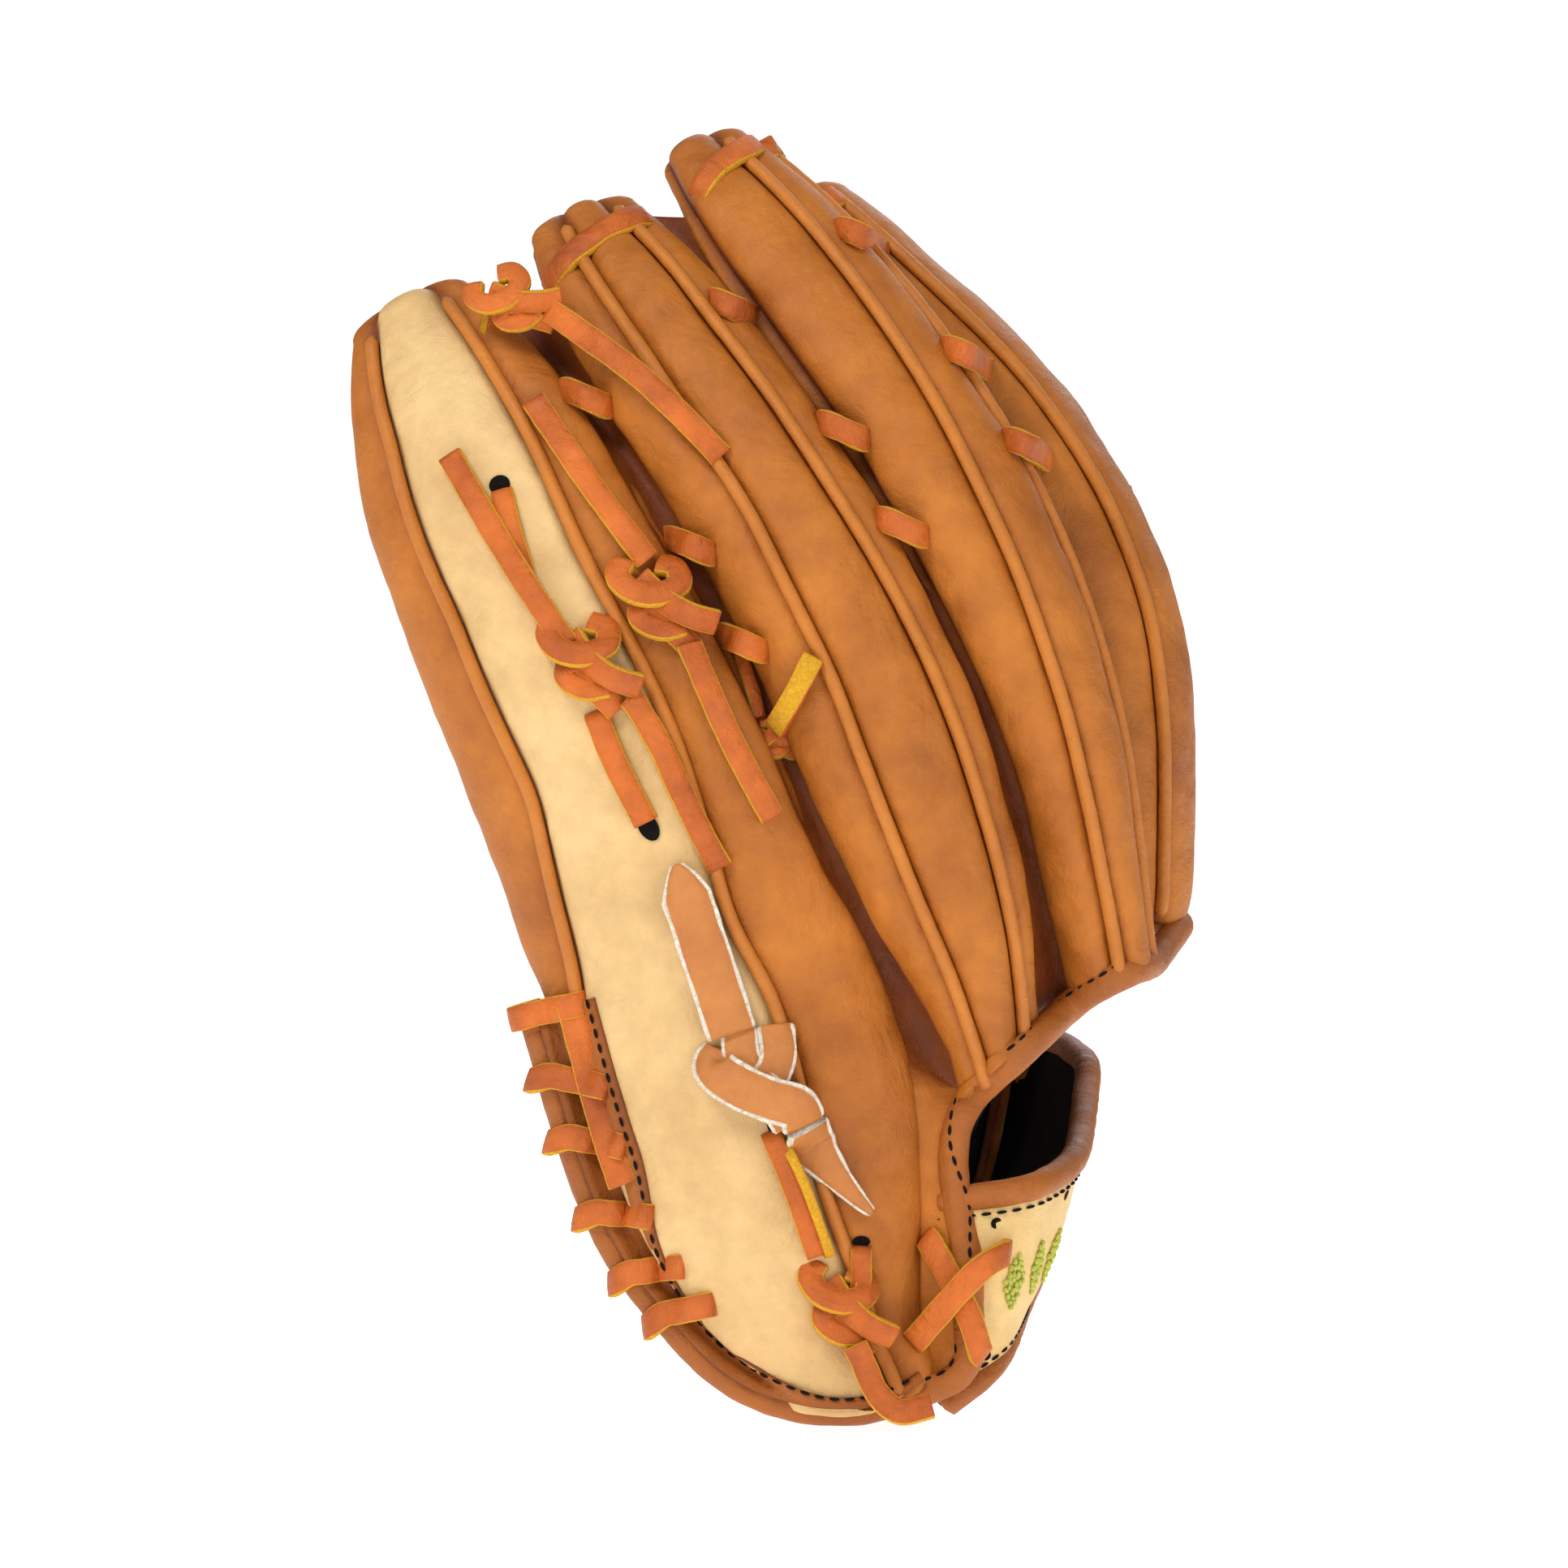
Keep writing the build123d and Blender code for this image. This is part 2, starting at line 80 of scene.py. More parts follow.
# ------------------------------------------------------------------ reading the CAD
def unit(v):
    v = np.asarray(v, float)
    return v / max(np.linalg.norm(v), 1e-12)


def toward(v, aim):
    """The vector, turned round where it points away from the aim."""
    return v if v @ np.asarray(aim) >= 0 else -v


def cos_sin(degrees):
    return math.cos(math.radians(degrees)), math.sin(math.radians(degrees))


def between(x, xs, rows):
    """Rows of values interpolated column by column."""
    return np.array([np.interp(x, xs, column) for column in np.asarray(rows).T]).T


def lengths(points):
    """Distance along a polyline at each of its points."""
    return np.r_[0, np.cumsum(np.linalg.norm(np.diff(points, axis=0), axis=1))]


def level_row(rows, z):
    """Row of a line whose height is nearest to z."""
    return int(np.argmin(np.abs(rows[:, 2] - z)))


def across_line(v, line):
    """Unit part of a vector that is square to a line's direction."""
    return unit(v - line * (v @ line))


def soup(*names):
    """Triangles of CAD nodes as one (n, 3, 3) array."""
    out = []
    for name in names:
        mesh = NODES[name].data
        mesh.calc_loop_triangles()
        co = np.array([v.co[:] for v in mesh.vertices], float)
        tri = np.array([t.vertices[:] for t in mesh.loop_triangles], int)
        out.append(co[tri])
    return np.concatenate(out)


def points_of(*names):
    """Corner points of CAD nodes."""
    return soup(*names).reshape(-1, 3)


def islands(name):
    """Corner points of each separate solid of a grouped CAD node."""
    tris = soup(name)
    keys, index = np.unique(np.round(tris.reshape(-1, 3), 6), axis=0, return_inverse=True)
    index = index.reshape(-1, 3)
    label = np.arange(len(keys))
    for _ in range(400):
        low = label[index].min(1)
        before = label.copy()
        for k in range(3):
            np.minimum.at(label, index[:, k], low)
        label = label[label]
        if (before == label).all():
            break
    owner = label[index[:, 0]]
    return [tris[owner == k].reshape(-1, 3) for k in np.unique(owner)]


def cut(tris, origin, normal, reach=None):
    """Points where a plane crosses the triangles' edges, near the origin if told to."""
    d = (tris - origin) @ normal
    points = []
    for i, j in ((0, 1), (1, 2), (2, 0)):
        hit = d[:, i] * d[:, j] < 0
        t = (d[hit, i] / (d[hit, i] - d[hit, j]))[:, None]
        points.append(tris[hit, i] * (1 - t) + tris[hit, j] * t)
    points = np.concatenate(points)
    if reach:
        points = points[np.linalg.norm(points - origin, axis=1) < reach]
    return points


def level_cut(tris, z):
    """Points where a level plane crosses the triangles' edges."""
    return cut(tris, np.array([0, 0, z]), UP)


def march(tris, step, reach):
    """Follows a long piece from one end: middle line, width direction, width, thickness."""
    points = tris.reshape(-1, 3)
    middle = points.mean(0)
    main = np.linalg.svd(points - middle, full_matrices=False)[2][0]
    start = points[((points - middle) @ main).argmin()]
    here = points[np.linalg.norm(points - start, axis=1) < reach * 0.6].mean(0)
    near = points[np.linalg.norm(points - start, axis=1) < reach * 2.5]
    heading = unit(near.mean(0) - start)
    rows = []
    here = here - heading * step * 0.2
    for _ in range(400):
        got = cut(tris, here, heading, reach)
        if len(got) < 3:
            if rows:
                break
            here = here + heading * step * 0.5
            continue
        flat = got - got.mean(0)
        wide = np.linalg.svd(flat, full_matrices=False)[2][0]
        wide = across_line(wide, heading)
        if rows:
            wide = toward(wide, rows[-1][2])
        deep = np.cross(heading, wide)
        u, v = got @ wide, got @ deep
        centre = here + wide * ((u.max() + u.min()) / 2 - here @ wide) \
            + deep * ((v.max() + v.min()) / 2 - here @ deep)
        rows.append((centre, heading, wide, np.ptp(u), np.ptp(v)))
        if len(rows) > 1:
            heading = unit(0.5 * heading + 0.5 * unit(centre - rows[-2][0]))
        here = centre + heading * step
    return rows


def smooth(values, rounds):
    """Repeated three-point average along the first axis, ends kept."""
    values = np.array(values, float)
    for _ in range(rounds):
        values[1:-1] = (values[:-2] + 2 * values[1:-1] + values[2:]) / 4
    return values


def resample(points, count, extra=None):
    """Even spacing along a polyline through a soft spline; extra arrays follow."""
    points = np.array(points, float)
    at = lengths(points)
    stack = points if extra is None else np.c_[points, extra]
    dense = between(np.linspace(0, at[-1], count), at, stack)
    return smooth(dense, max(1, count // max(len(points), 2)))


def curve(points, count):
    """Catmull-Rom curve through control points."""
    p = np.array(points, float)
    p = np.vstack([2 * p[0] - p[1], p, 2 * p[-1] - p[-2]])
    out = []
    spans = len(p) - 3
    for t in np.linspace(0, spans - 1e-6, count):
        i = int(t)
        f = t - i
        a, b, c, d = p[i:i + 4]
        out.append(0.5 * ((2 * b) + (c - a) * f + (2 * a - 5 * b + 4 * c - d) * f * f
                          + (3 * b - a - 3 * c + d) * f ** 3))
    return np.array(out)


def tangents(points):
    """Unit directions along a polyline."""
    t = np.gradient(points, axis=0)
    return t / np.maximum(np.linalg.norm(t, axis=1), 1e-12)[:, None]


# ------------------------------------------------------------------ materials
def node_maker(owner):
    """Clears a material or world; the maker adds nodes, given values or sockets by name."""
    owner.use_nodes = True
    tree = owner.node_tree
    tree.nodes.clear()

    def add(kind, **inputs):
        node = tree.nodes.new(kind)
        for key, value in inputs.items():
            if hasattr(node, key):
                setattr(node, key, value)
            elif isinstance(value, bpy.types.NodeSocket):
                tree.links.new(value, node.inputs[key.replace("_", " ")])
            else:
                node.inputs[key.replace("_", " ")].default_value = value
        return node
    return add


def two_tone(add, value, dark, light, low=0.0, high=1.0):
    """Colour between dark and light as a value runs from low to high."""
    ramp = add("ShaderNodeValToRGB", Fac=value)
    for stop, place, colour in zip(ramp.color_ramp.elements, (low, high), (dark, light)):
        stop.position = place
        stop.color = (*colour, 1)
    return ramp.outputs["Color"]


def rescale(add, value, *limits):
    """Value moved from one range to another."""
    names = ("From_Min", "From_Max", "To_Min", "To_Max")
    node = add("ShaderNodeMapRange", Value=value, **dict(zip(names, limits)))
    return node.outputs["Result"]


def surface(add, **inputs):
    skin = add("ShaderNodeBsdfPrincipled", **inputs)
    add("ShaderNodeOutputMaterial", Surface=skin.outputs["BSDF"])


def leather(name, colour, dark, rough=0.5, grain=1.0, mottle=0.5):
    """Grained leather: mottled colour with painted shade, pores, creases, folds and worn
    roughness.
    """
    mat = bpy.data.materials.new(name)
    add = node_maker(mat)
    where = add("ShaderNodeTexCoord").outputs["Object"]

    def cloud(scale, detail, blur=0.5, bend=0.0, output="Fac"):
        return add("ShaderNodeTexNoise", Vector=where, Scale=scale, Detail=detail,
                   Roughness=blur, Distortion=bend).outputs[output]

    def mix(kind, share, first, second):
        return add("ShaderNodeMixRGB", blend_type=kind, Fac=share, Color1=first,
                   Color2=second).outputs["Color"]

    patches = cloud(38.0, 6.0, 0.62)
    base = mix("MIX", mottle, (*colour, 1), two_tone(add, patches, dark, colour, 0.32, 0.66))
    tone = rescale(add, cloud(260.0, 4.0, 0.6), 0.3, 0.7, 0.72, 1.08)
    speckled = mix("MULTIPLY", 0.28, base, tone)
    # Painted shade: the 'shade' attribute darkens the colour in seam grooves, valleys between
    # fingers and folds, with some random darker patches.
    seam = add("ShaderNodeAttribute", attribute_name="shade").outputs["Fac"]
    shade_darkened = mix("MULTIPLY", seam, speckled, (0.34, 0.2, 0.13, 1))
    shift = mix("ADD", 0.0018, where, cloud(420.0, 3.0, output="Color"))
    pores = add("ShaderNodeTexVoronoi", feature="DISTANCE_TO_EDGE", Scale=1150.0,
                Vector=shift).outputs["Distance"]
    layers = ((pores, 0.22, 0.0006), (cloud(95.0, 7.0, 0.68, 1.4), 0.4, 0.0026),
              (cloud(26.0, 3.0, 0.5, 2.2), 0.3, 0.006))
    relief = {}
    for height, strength, depth in layers:
        bump = add("ShaderNodeBump", Strength=strength * grain, Distance=depth,
                   Height=height, **relief)
        relief = {"Normal": bump.outputs["Normal"]}
    worn = rescale(add, patches, 0.25, 0.75, rough - 0.1, rough + 0.14)
    surface(add, Base_Color=shade_darkened, Roughness=worn, Specular_IOR_Level=0.32, **relief)
    return mat


def fibre(name, colour, dark, scale=1400.0, rough=0.9):
    """Raw edge, felt or thread: streaky fibres with a rough surface."""
    mat = bpy.data.materials.new(name)
    add = node_maker(mat)
    where = add("ShaderNodeTexCoord").outputs["Object"]
    hair = add("ShaderNodeTexNoise", Vector=where, Scale=scale, Detail=5.0,
               Roughness=0.75, Distortion=0.8).outputs["Fac"]
    bump = add("ShaderNodeBump", Strength=0.6, Distance=0.0009, Height=hair)
    surface(add, Base_Color=two_tone(add, hair, dark, colour, 0.35, 0.65), Roughness=rough,
            Specular_IOR_Level=0.2, Normal=bump.outputs["Normal"])
    return mat


def srgb(r, g, b):
    """8-bit display colour to linear."""
    return tuple((c / 255 / 12.92) if c <= 10 else ((c / 255 + 0.055) / 1.055) ** 2.4
                 for c in (r, g, b))


TAN = leather("tan", srgb(194, 116, 38), srgb(148, 76, 14), 0.5, mottle=0.7)
TAN_DEEP = leather("tan_deep", srgb(156, 84, 22), srgb(110, 54, 10), 0.52)
BLOND = leather("blond", srgb(226, 190, 132), srgb(200, 158, 98), 0.52, mottle=0.6)
PIPING = leather("piping", srgb(198, 120, 44), srgb(156, 86, 24), 0.46, grain=0.8)
BINDING = leather("binding", srgb(172, 98, 34), srgb(130, 66, 20), 0.48, grain=1.2)
STRAP = leather("strap_leather", srgb(234, 200, 134), srgb(212, 170, 104), 0.52)
LACE = leather("lace_face", srgb(216, 112, 38), srgb(156, 70, 18), 0.44, grain=1.4,
               mottle=0.9)
LACE_EDGE = fibre("lace_edge", srgb(232, 178, 48), srgb(198, 138, 30))
PULL = leather("pull_face", srgb(202, 130, 66), srgb(172, 98, 42), 0.46, mottle=0.6)
FUZZ = fibre("white_fuzz", srgb(248, 240, 226), srgb(196, 176, 150), 900.0)
THREAD = fibre("black_thread", srgb(26, 14, 10), srgb(8, 4, 3), 2600.0, 0.8)
LINING = fibre("black_lining", srgb(22, 18, 16), srgb(8, 7, 7), 700.0, 0.95)
FELT = fibre("felt", srgb(226, 220, 206), srgb(192, 184, 168), 800.0)
HOLE_SHADOW = fibre("hole_shadow", srgb(20, 10, 6), srgb(6, 3, 2), 900.0)


# ------------------------------------------------------------------ mesh helpers
def attach(obj, body, slot, *nodes):
    """Fixes a piece to a body and hides the CAD nodes it replaces; the slot is not used."""
    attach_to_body(obj, body)
    if nodes:
        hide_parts(*nodes)
    return obj


def in_scene(name, data):
    obj = bpy.data.objects.new(name, data)
    bpy.context.scene.collection.objects.link(obj)
    return obj


def build(name, verts, faces, mats, face_mats=None, shade=None):
    mesh = bpy.data.meshes.new(name)
    mesh.from_pydata([tuple(v) for v in verts], [], faces)
    for m in mats:
        mesh.materials.append(m)
    if face_mats is not None:
        mesh.polygons.foreach_set("material_index", np.array(face_mats, np.int32))
    mesh.polygons.foreach_set("use_smooth", np.ones(len(mesh.polygons), bool))
    attr = mesh.attributes.new("shade", "FLOAT", "POINT")
    attr.data.foreach_set("value", np.array(
        np.zeros(len(verts)) if shade is None else shade, np.float32))
    mesh.update()
    return in_scene(name, mesh)


def grid_normals(grid):
    """Unit normals of a grid of points."""
    du = np.gradient(grid, axis=0)
    dv = np.gradient(grid, axis=1)
    n = np.cross(du, dv)
    return n / np.maximum(np.linalg.norm(n, axis=2), 1e-12)[:, :, None]


def sheet(name, grid, thick, mats, shade=None, flip=False, facing=None):
    """Closed leather sheet from a grid of outer points; mats are face, edge, inside."""
    n = grid_normals(grid)
    rows, cols = grid.shape[:2]
    if facing is not None:
        flip = n[rows // 2, cols // 2] @ facing < 0
    inner = grid - (-n if flip else n) * thick
    verts = np.concatenate([grid.reshape(-1, 3), inner.reshape(-1, 3)])
    total = rows * cols
    faces, which = [], []
    for i in range(rows - 1):
        for j in range(cols - 1):
            a = i * cols + j
            quad = (a, a + 1, a + cols + 1, a + cols)
            faces += [quad, tuple(total + k for k in quad[::-1])]
            which += [0, min(2, len(mats) - 1)]
    ring = ([j for j in range(cols)] + [i * cols + cols - 1 for i in range(1, rows)]
            + [(rows - 1) * cols + j for j in range(cols - 2, -1, -1)]
            + [i * cols for i in range(rows - 2, 0, -1)])
    for a, b in zip(ring, ring[1:] + ring[:1]):
        faces.append((a, total + a, total + b, b))
        which.append(min(1, len(mats) - 1))
    if flip:
        faces = [face[::-1] for face in faces]
    flat = None if shade is None else np.concatenate([np.clip(shade, 0, 1).reshape(-1)] * 2)
    return build(name, verts, faces, mats, which, flat)


def side_faces(rings, sides):
    """Faces that join rings of points, one after the other."""
    return [(k * sides + s, k * sides + (s + 1) % sides,
             (k + 1) * sides + (s + 1) % sides, (k + 1) * sides + s)
            for k in range(rings - 1) for s in range(sides)]


def end_faces(rings, sides):
    """Faces that close the first and the last ring."""
    return [tuple(range(sides))[::-1], tuple((rings - 1) * sides + s for s in range(sides))]


def tube(name, points, radius, mats, sides=14, flat=1.0, wobble=0.0):
    """Round or flattened cord along a curve, rounded at both ends."""
    points = np.array(points, float)
    t = tangents(points)
    guide = unit(np.cross(t[0], BACK))
    verts = []
    radius = np.broadcast_to(np.array(radius, float), (len(points),)).copy()
    radius[0] *= 0.35
    radius[-1] *= 0.35
    for k, (p, d) in enumerate(zip(points, t)):
        guide = unit(guide - d * (guide @ d))
        other = np.cross(d, guide)
        for s in range(sides):
            a = 2 * math.pi * s / sides
            r = radius[k]
            if wobble:
                r *= 1 + wobble * noise.noise(Vector((p * 260)) + Vector((s * 0.35, 0, 0)))
            verts.append(p + guide * (math.cos(a) * r) + other * (math.sin(a) * r * flat))
    faces = side_faces(len(points), sides) + end_faces(len(points), sides)
    return build(name, verts, faces, mats)


def strip_parts(points, facing, width, thick, curl=0.0):
    """Vertices, faces and face materials of a flat lace with softly rounded sides."""
    points = np.array(points, float)
    t = tangents(points)
    facing = np.broadcast_to(np.array(facing, float), points.shape)
    count = len(points)
    section = [(-0.5, -0.28), (-0.46, -0.5), (0.46, -0.5), (0.5, -0.28),
               (0.5, 0.28), (0.46, 0.5), (0.16, 0.56), (-0.16, 0.56), (-0.46, 0.5),
               (-0.5, 0.28)]
    verts = []
    for k in range(count):
        wide = unit(np.cross(t[k], facing[k]))
        out = unit(np.cross(wide, t[k]))
        w = width[k] if np.ndim(width) else width
        jitter = 1 + 0.05 * noise.noise(Vector(points[k] * 240))
        for u, v in section:
            lift = curl * (abs(u) * 2) ** 2 * thick
            verts.append(points[k] + wide * (u * w * jitter) + out * (v * thick + lift))
    n = len(section)
    faces = [(a, d, c, b) for a, b, c, d in side_faces(count, n)]
    faces += [face[::-1] for face in end_faces(count, n)]
    which = [0 if s in (1, 5, 6, 7) else 1 for s in range(n)] * (count - 1) + [1, 1]
    return verts, faces, which


def disc(middle, side, up, hub, sides):
    """Oval of triangles round a hub: a hole's painted shadow, drawn on the leather."""
    rim = [middle + side * math.cos(a) + up * math.sin(a)
           for a in np.linspace(0, 2 * math.pi, sides, endpoint=False)]
    return rim + [hub], [(i, (i + 1) % sides, sides) for i in range(sides)], [0] * sides


def merge(name, parts, mats):
    """One mesh from several (verts, faces, which) pieces."""
    verts, faces, which = [], [], []
    for v, f, w in parts:
        base = len(verts)
        verts += list(v)
        faces += [tuple(base + i for i in face) for face in f]
        which += list(w)
    return build(name, verts, faces, mats, which)


def stitch_parts(points, out, length, gap, radius):
    """Thread stitches lying along a line: small rounded capsules."""
    dist = lengths(points)
    out = np.broadcast_to(np.array(out, float), (len(points), 3))
    parts = []
    at = 0.0
    while at + length < dist[-1]:
        ends = [between(at + f * length, dist, points) for f in (0.0, 0.25, 0.5, 0.75, 1.0)]
        lift = between(at + length / 2, dist, out)
        d = unit(ends[-1] - ends[0])
        side = unit(np.cross(d, lift))
        top = np.cross(side, d)
        verts = []
        for f, p in zip((0.45, 0.9, 1.0, 0.9, 0.45), ends):
            for a in range(6):
                c, s = math.cos(a * math.pi / 3), math.sin(a * math.pi / 3)
                verts.append(p + (side * c + top * s) * radius * f)
        faces = side_faces(5, 6) + end_faces(5, 6)
        parts.append((verts, faces, [0] * len(faces)))
        at += length + gap
    return parts


def ripple(point, scale, octaves=3):
    """Fractal noise about 0 at a place in metres."""
    return noise.fractal(Vector(point) * scale, 1.0, 2.0, octaves)


# ------------------------------------------------------------------ finger tubes
ROWS = 150              # sections of a finger tube
SLICES = 26             # level slices read from the CAD
THICKEST = 0.06         # no part of a section lies further from its centre
OPEN_DEPTH = 0.83       # depth of a half-open section as a share of its half depth
PANEL = 0.0019          # thickness of the fingers' leather
CAP = 9                 # rows that round off the fingertip
HEM_ROWS = 8            # rows from the CAD's lowest section down to the edge roll

class Tube:
    """A finger tube read from its CAD panels: middle line, section axes and seams."""

    def __init__(self, name, panels):
        self.name = name
        self.turn = 1 if name == "thumb" else -1
        tris = soup(*[name + "_back_" + p for p in panels], name + "_front")
        low, high = tris.reshape(-1, 3).min(0), tris.reshape(-1, 3).max(0)
        self.front_low = points_of(name + "_front")[:, 2].min()
        centres = []
        for z in np.linspace(low[2] + 0.004, high[2] - 0.006, SLICES):
            got = level_cut(tris, z)
            centres.append((got.max(0) + got.min(0)) / 2)
        centres = smooth(centres, 4)
        rows = []
        wide = np.array([1.0, 0.3, 0])
        for c, d in zip(centres, tangents(centres)):
            got = cut(tris, c, d, THICKEST)
            flat = got - got.mean(0)
            w = np.linalg.svd(flat, full_matrices=False)[2][0]
            wide = toward(across_line(w, d), wide)
            rows.append((c, d, wide, self.extent(got, c, d, wide)))
        wides = self.steady([r[2] for r in rows],
                            [(e[1] - e[0]) / (e[3] - e[2]) for _, _, _, e in rows])
        extents = [self.extent(cut(tris, c, d, THICKEST), c, d, across_line(w, d))
                   for (c, d, _, _), w in zip(rows, wides)]
        closed_all = self.front_low < low[2] + 0.02
        centre, half, kept = [], [], []
        for k, ((c, d, _, _), w, (u0, u1, v0, v1)) in enumerate(
                zip(rows, wides, smooth(extents, 2))):
            if not closed_all and abs(c[2] - self.front_low - 0.004) < 0.010:
                continue
            if closed_all and k < 2:
                continue
            if closed_all or c[2] > self.front_low + 0.006:
                cv, b = (v0 + v1) / 2, (v1 - v0) / 2
            else:
                b = (v1 - v0) / OPEN_DEPTH
                cv = v0 + b if self.turn < 0 else v1 - b
            square = across_line(w, d)
            centre.append(c + square * (u0 + u1) / 2 + np.cross(d, square) * cv)
            half.append(((u1 - u0) / 2, b))
            kept.append(w)
        dense = resample(smooth(centre, 2), ROWS, np.c_[smooth(half, 2), kept])
        self.centre = dense[:, :3]
        self.half = dense[:, 3:5]
        self.t = tangents(self.centre)
        self.wide = np.array([across_line(w, d) for w, d in zip(dense[:, 5:8], self.t)])
        self.deep = np.cross(self.t, self.wide)
        self.seams = self.read_seams(panels)

    @staticmethod
    def extent(points, centre, along, wide):
        """Reach of a section's points along its width and its depth."""
        u = (points - centre) @ wide
        v = (points - centre) @ np.cross(along, wide)
        return u.min(), u.max(), v.min(), v.max()

    @staticmethod
    def steady(wides, ratios):
        """Width directions, carried over from the clearly flat sections to the round ones."""
        good = [k for k, r in enumerate(ratios) if r > 1.22]
        wides = np.array([toward(w, RIGHT) for w in wides])
        return smooth(between(np.arange(len(wides)), good, wides[good]), 6)

    def point(self, k, angle, lift):
        """Point of section k; angle 0 to 180 crosses the back from left to right."""
        a, b = self.half[k]
        c, s = cos_sin(angle)
        side = self.deep[k] * self.turn
        across = self.wide[k] * (a + lift) * -c
        return self.centre[k] + across + side * ((b + lift) * s)

    def angle_of(self, k, points):
        side = self.deep[k] * self.turn
        rel = points - self.centre[k]
        u = rel @ self.wide[k] / self.half[k][0]
        v = rel @ side / self.half[k][1]
        return (np.degrees(np.arctan2(v, -u)) + 90) % 360 - 90

    def read_seams(self, panels):
        """Seam angles for each section, from the gaps between the back panels."""
        spans = []
        for p in panels:
            tris = soup(self.name + "_back_" + p)
            rows = []
            for k in range(0, ROWS, 6):
                got = cut(tris, self.centre[k], self.t[k], THICKEST)
                if len(got) < 3:
                    rows.append((np.nan, np.nan))
                    continue
                a = self.angle_of(k, got)
                rows.append((np.nanmin(a), np.nanmax(a)))
            spans.append(np.array(rows))
        order = sorted(range(len(panels)), key=lambda i: np.nanmean(spans[i]))
        self.order = [panels[i] for i in order]
        seams = []
        at = np.arange(0, ROWS, 6)
        for left, right in zip(order[:-1], order[1:]):
            mid = (spans[left][:, 1] + spans[right][:, 0]) / 2
            good = ~np.isnan(mid)
            full = np.interp(np.arange(ROWS), at[good], mid[good])
            if not good[0]:
                fade = (np.arange(ROWS) - at[good][0]) / 10.0 + 1.0
                full = 2.0 + (full - 2.0) * np.clip(fade, 0, 1) ** 0.7
            seams.append(smooth(full, 10 if not good[0] else 30))
        return seams


def eased(x):
    """Smooth step from 0 to 1."""
    x = min(max(x, 0.0), 1.0)
    return x * x * (3 - 2 * x)


def cord_path(name, count):
    rows = march(soup(name), 0.004, 0.011)
    return resample([r[0] for r in rows], count)


def hem(line, top):
    """Height of an edge roll below each x place."""
    low = line[line[:, 2] < top]
    order = np.argsort(low[:, 0])
    return low[order, 0], low[order, 2]


HEEL_LINE = cord_path("heel_binding", 120)
OPENING_LINE = cord_path("opening_binding", 110)
THUMB_LINE = cord_path("thumb_binding", 110)
if HEEL_LINE[0, 2] < HEEL_LINE[-1, 2]:
    HEEL_LINE = HEEL_LINE[::-1]
if OPENING_LINE[0, 2] > OPENING_LINE[-1, 2]:
    OPENING_LINE = OPENING_LINE[::-1]
CORNER = HEEL_LINE[-1]
# The roll's turn from the heel up into the wrist opening.
BEND = np.array([CORNER + np.array(v) * MM for v in
                 ((0, 0, 0), (6.0, -1.0, 1.2), (8.6, -1.6, 6.4), (7.4, -1.2, 14.5))])
OPENING_TURN = OPENING_LINE[OPENING_LINE[:, 0].argmin(), 2] + 0.01
RISING = OPENING_LINE[OPENING_LINE[:, 2] > OPENING_TURN]
HEMS = {"pinky": hem(HEEL_LINE, 0.05), "thumb": hem(THUMB_LINE, 0.05)}
for name in ("ring", "middle", "index"):
    HEMS[name] = hem(RISING, 1.0)
# How far each finger's leather runs on below its lowest CAD section.
REACH = {"pinky": 0.014, "ring": 0.022, "middle": 0.016, "index": 0.014, "thumb": 0.006}


def to_hem(name, p, t):
    """Keeps a place of the lower end above the roll that closes it."""
    xs, zs = HEMS[name]
    floor = np.interp(p[0], xs, zs) - 0.0006
    if p[2] < floor:
        p = p + t * (floor - p[2]) / max(t[2], 0.3)
    return p


def low_point(T, k, angle, lift):
    """Tube point with rows below the first one running down to the hem."""
    if k >= 0:
        return to_hem(T.name, T.point(k, angle, lift), T.t[k])
    share = -k / HEM_ROWS
    p = T.point(0, angle, lift)
    p = T.centre[0] + (p - T.centre[0]) * (1 - 0.12 * share * share)
    return to_hem(T.name, p - T.t[0] * REACH[T.name] * share, T.t[0])


def rounded(T, row, p, end):
    """Tube point moved along the fingertip's round end; end runs from 0 to 1."""
    if not end:
        return p
    turn = end * math.pi / 2
    mid = T.centre[row]
    return mid + (p - mid) * math.cos(turn) + T.t[row] * 0.0062 * math.sin(turn)


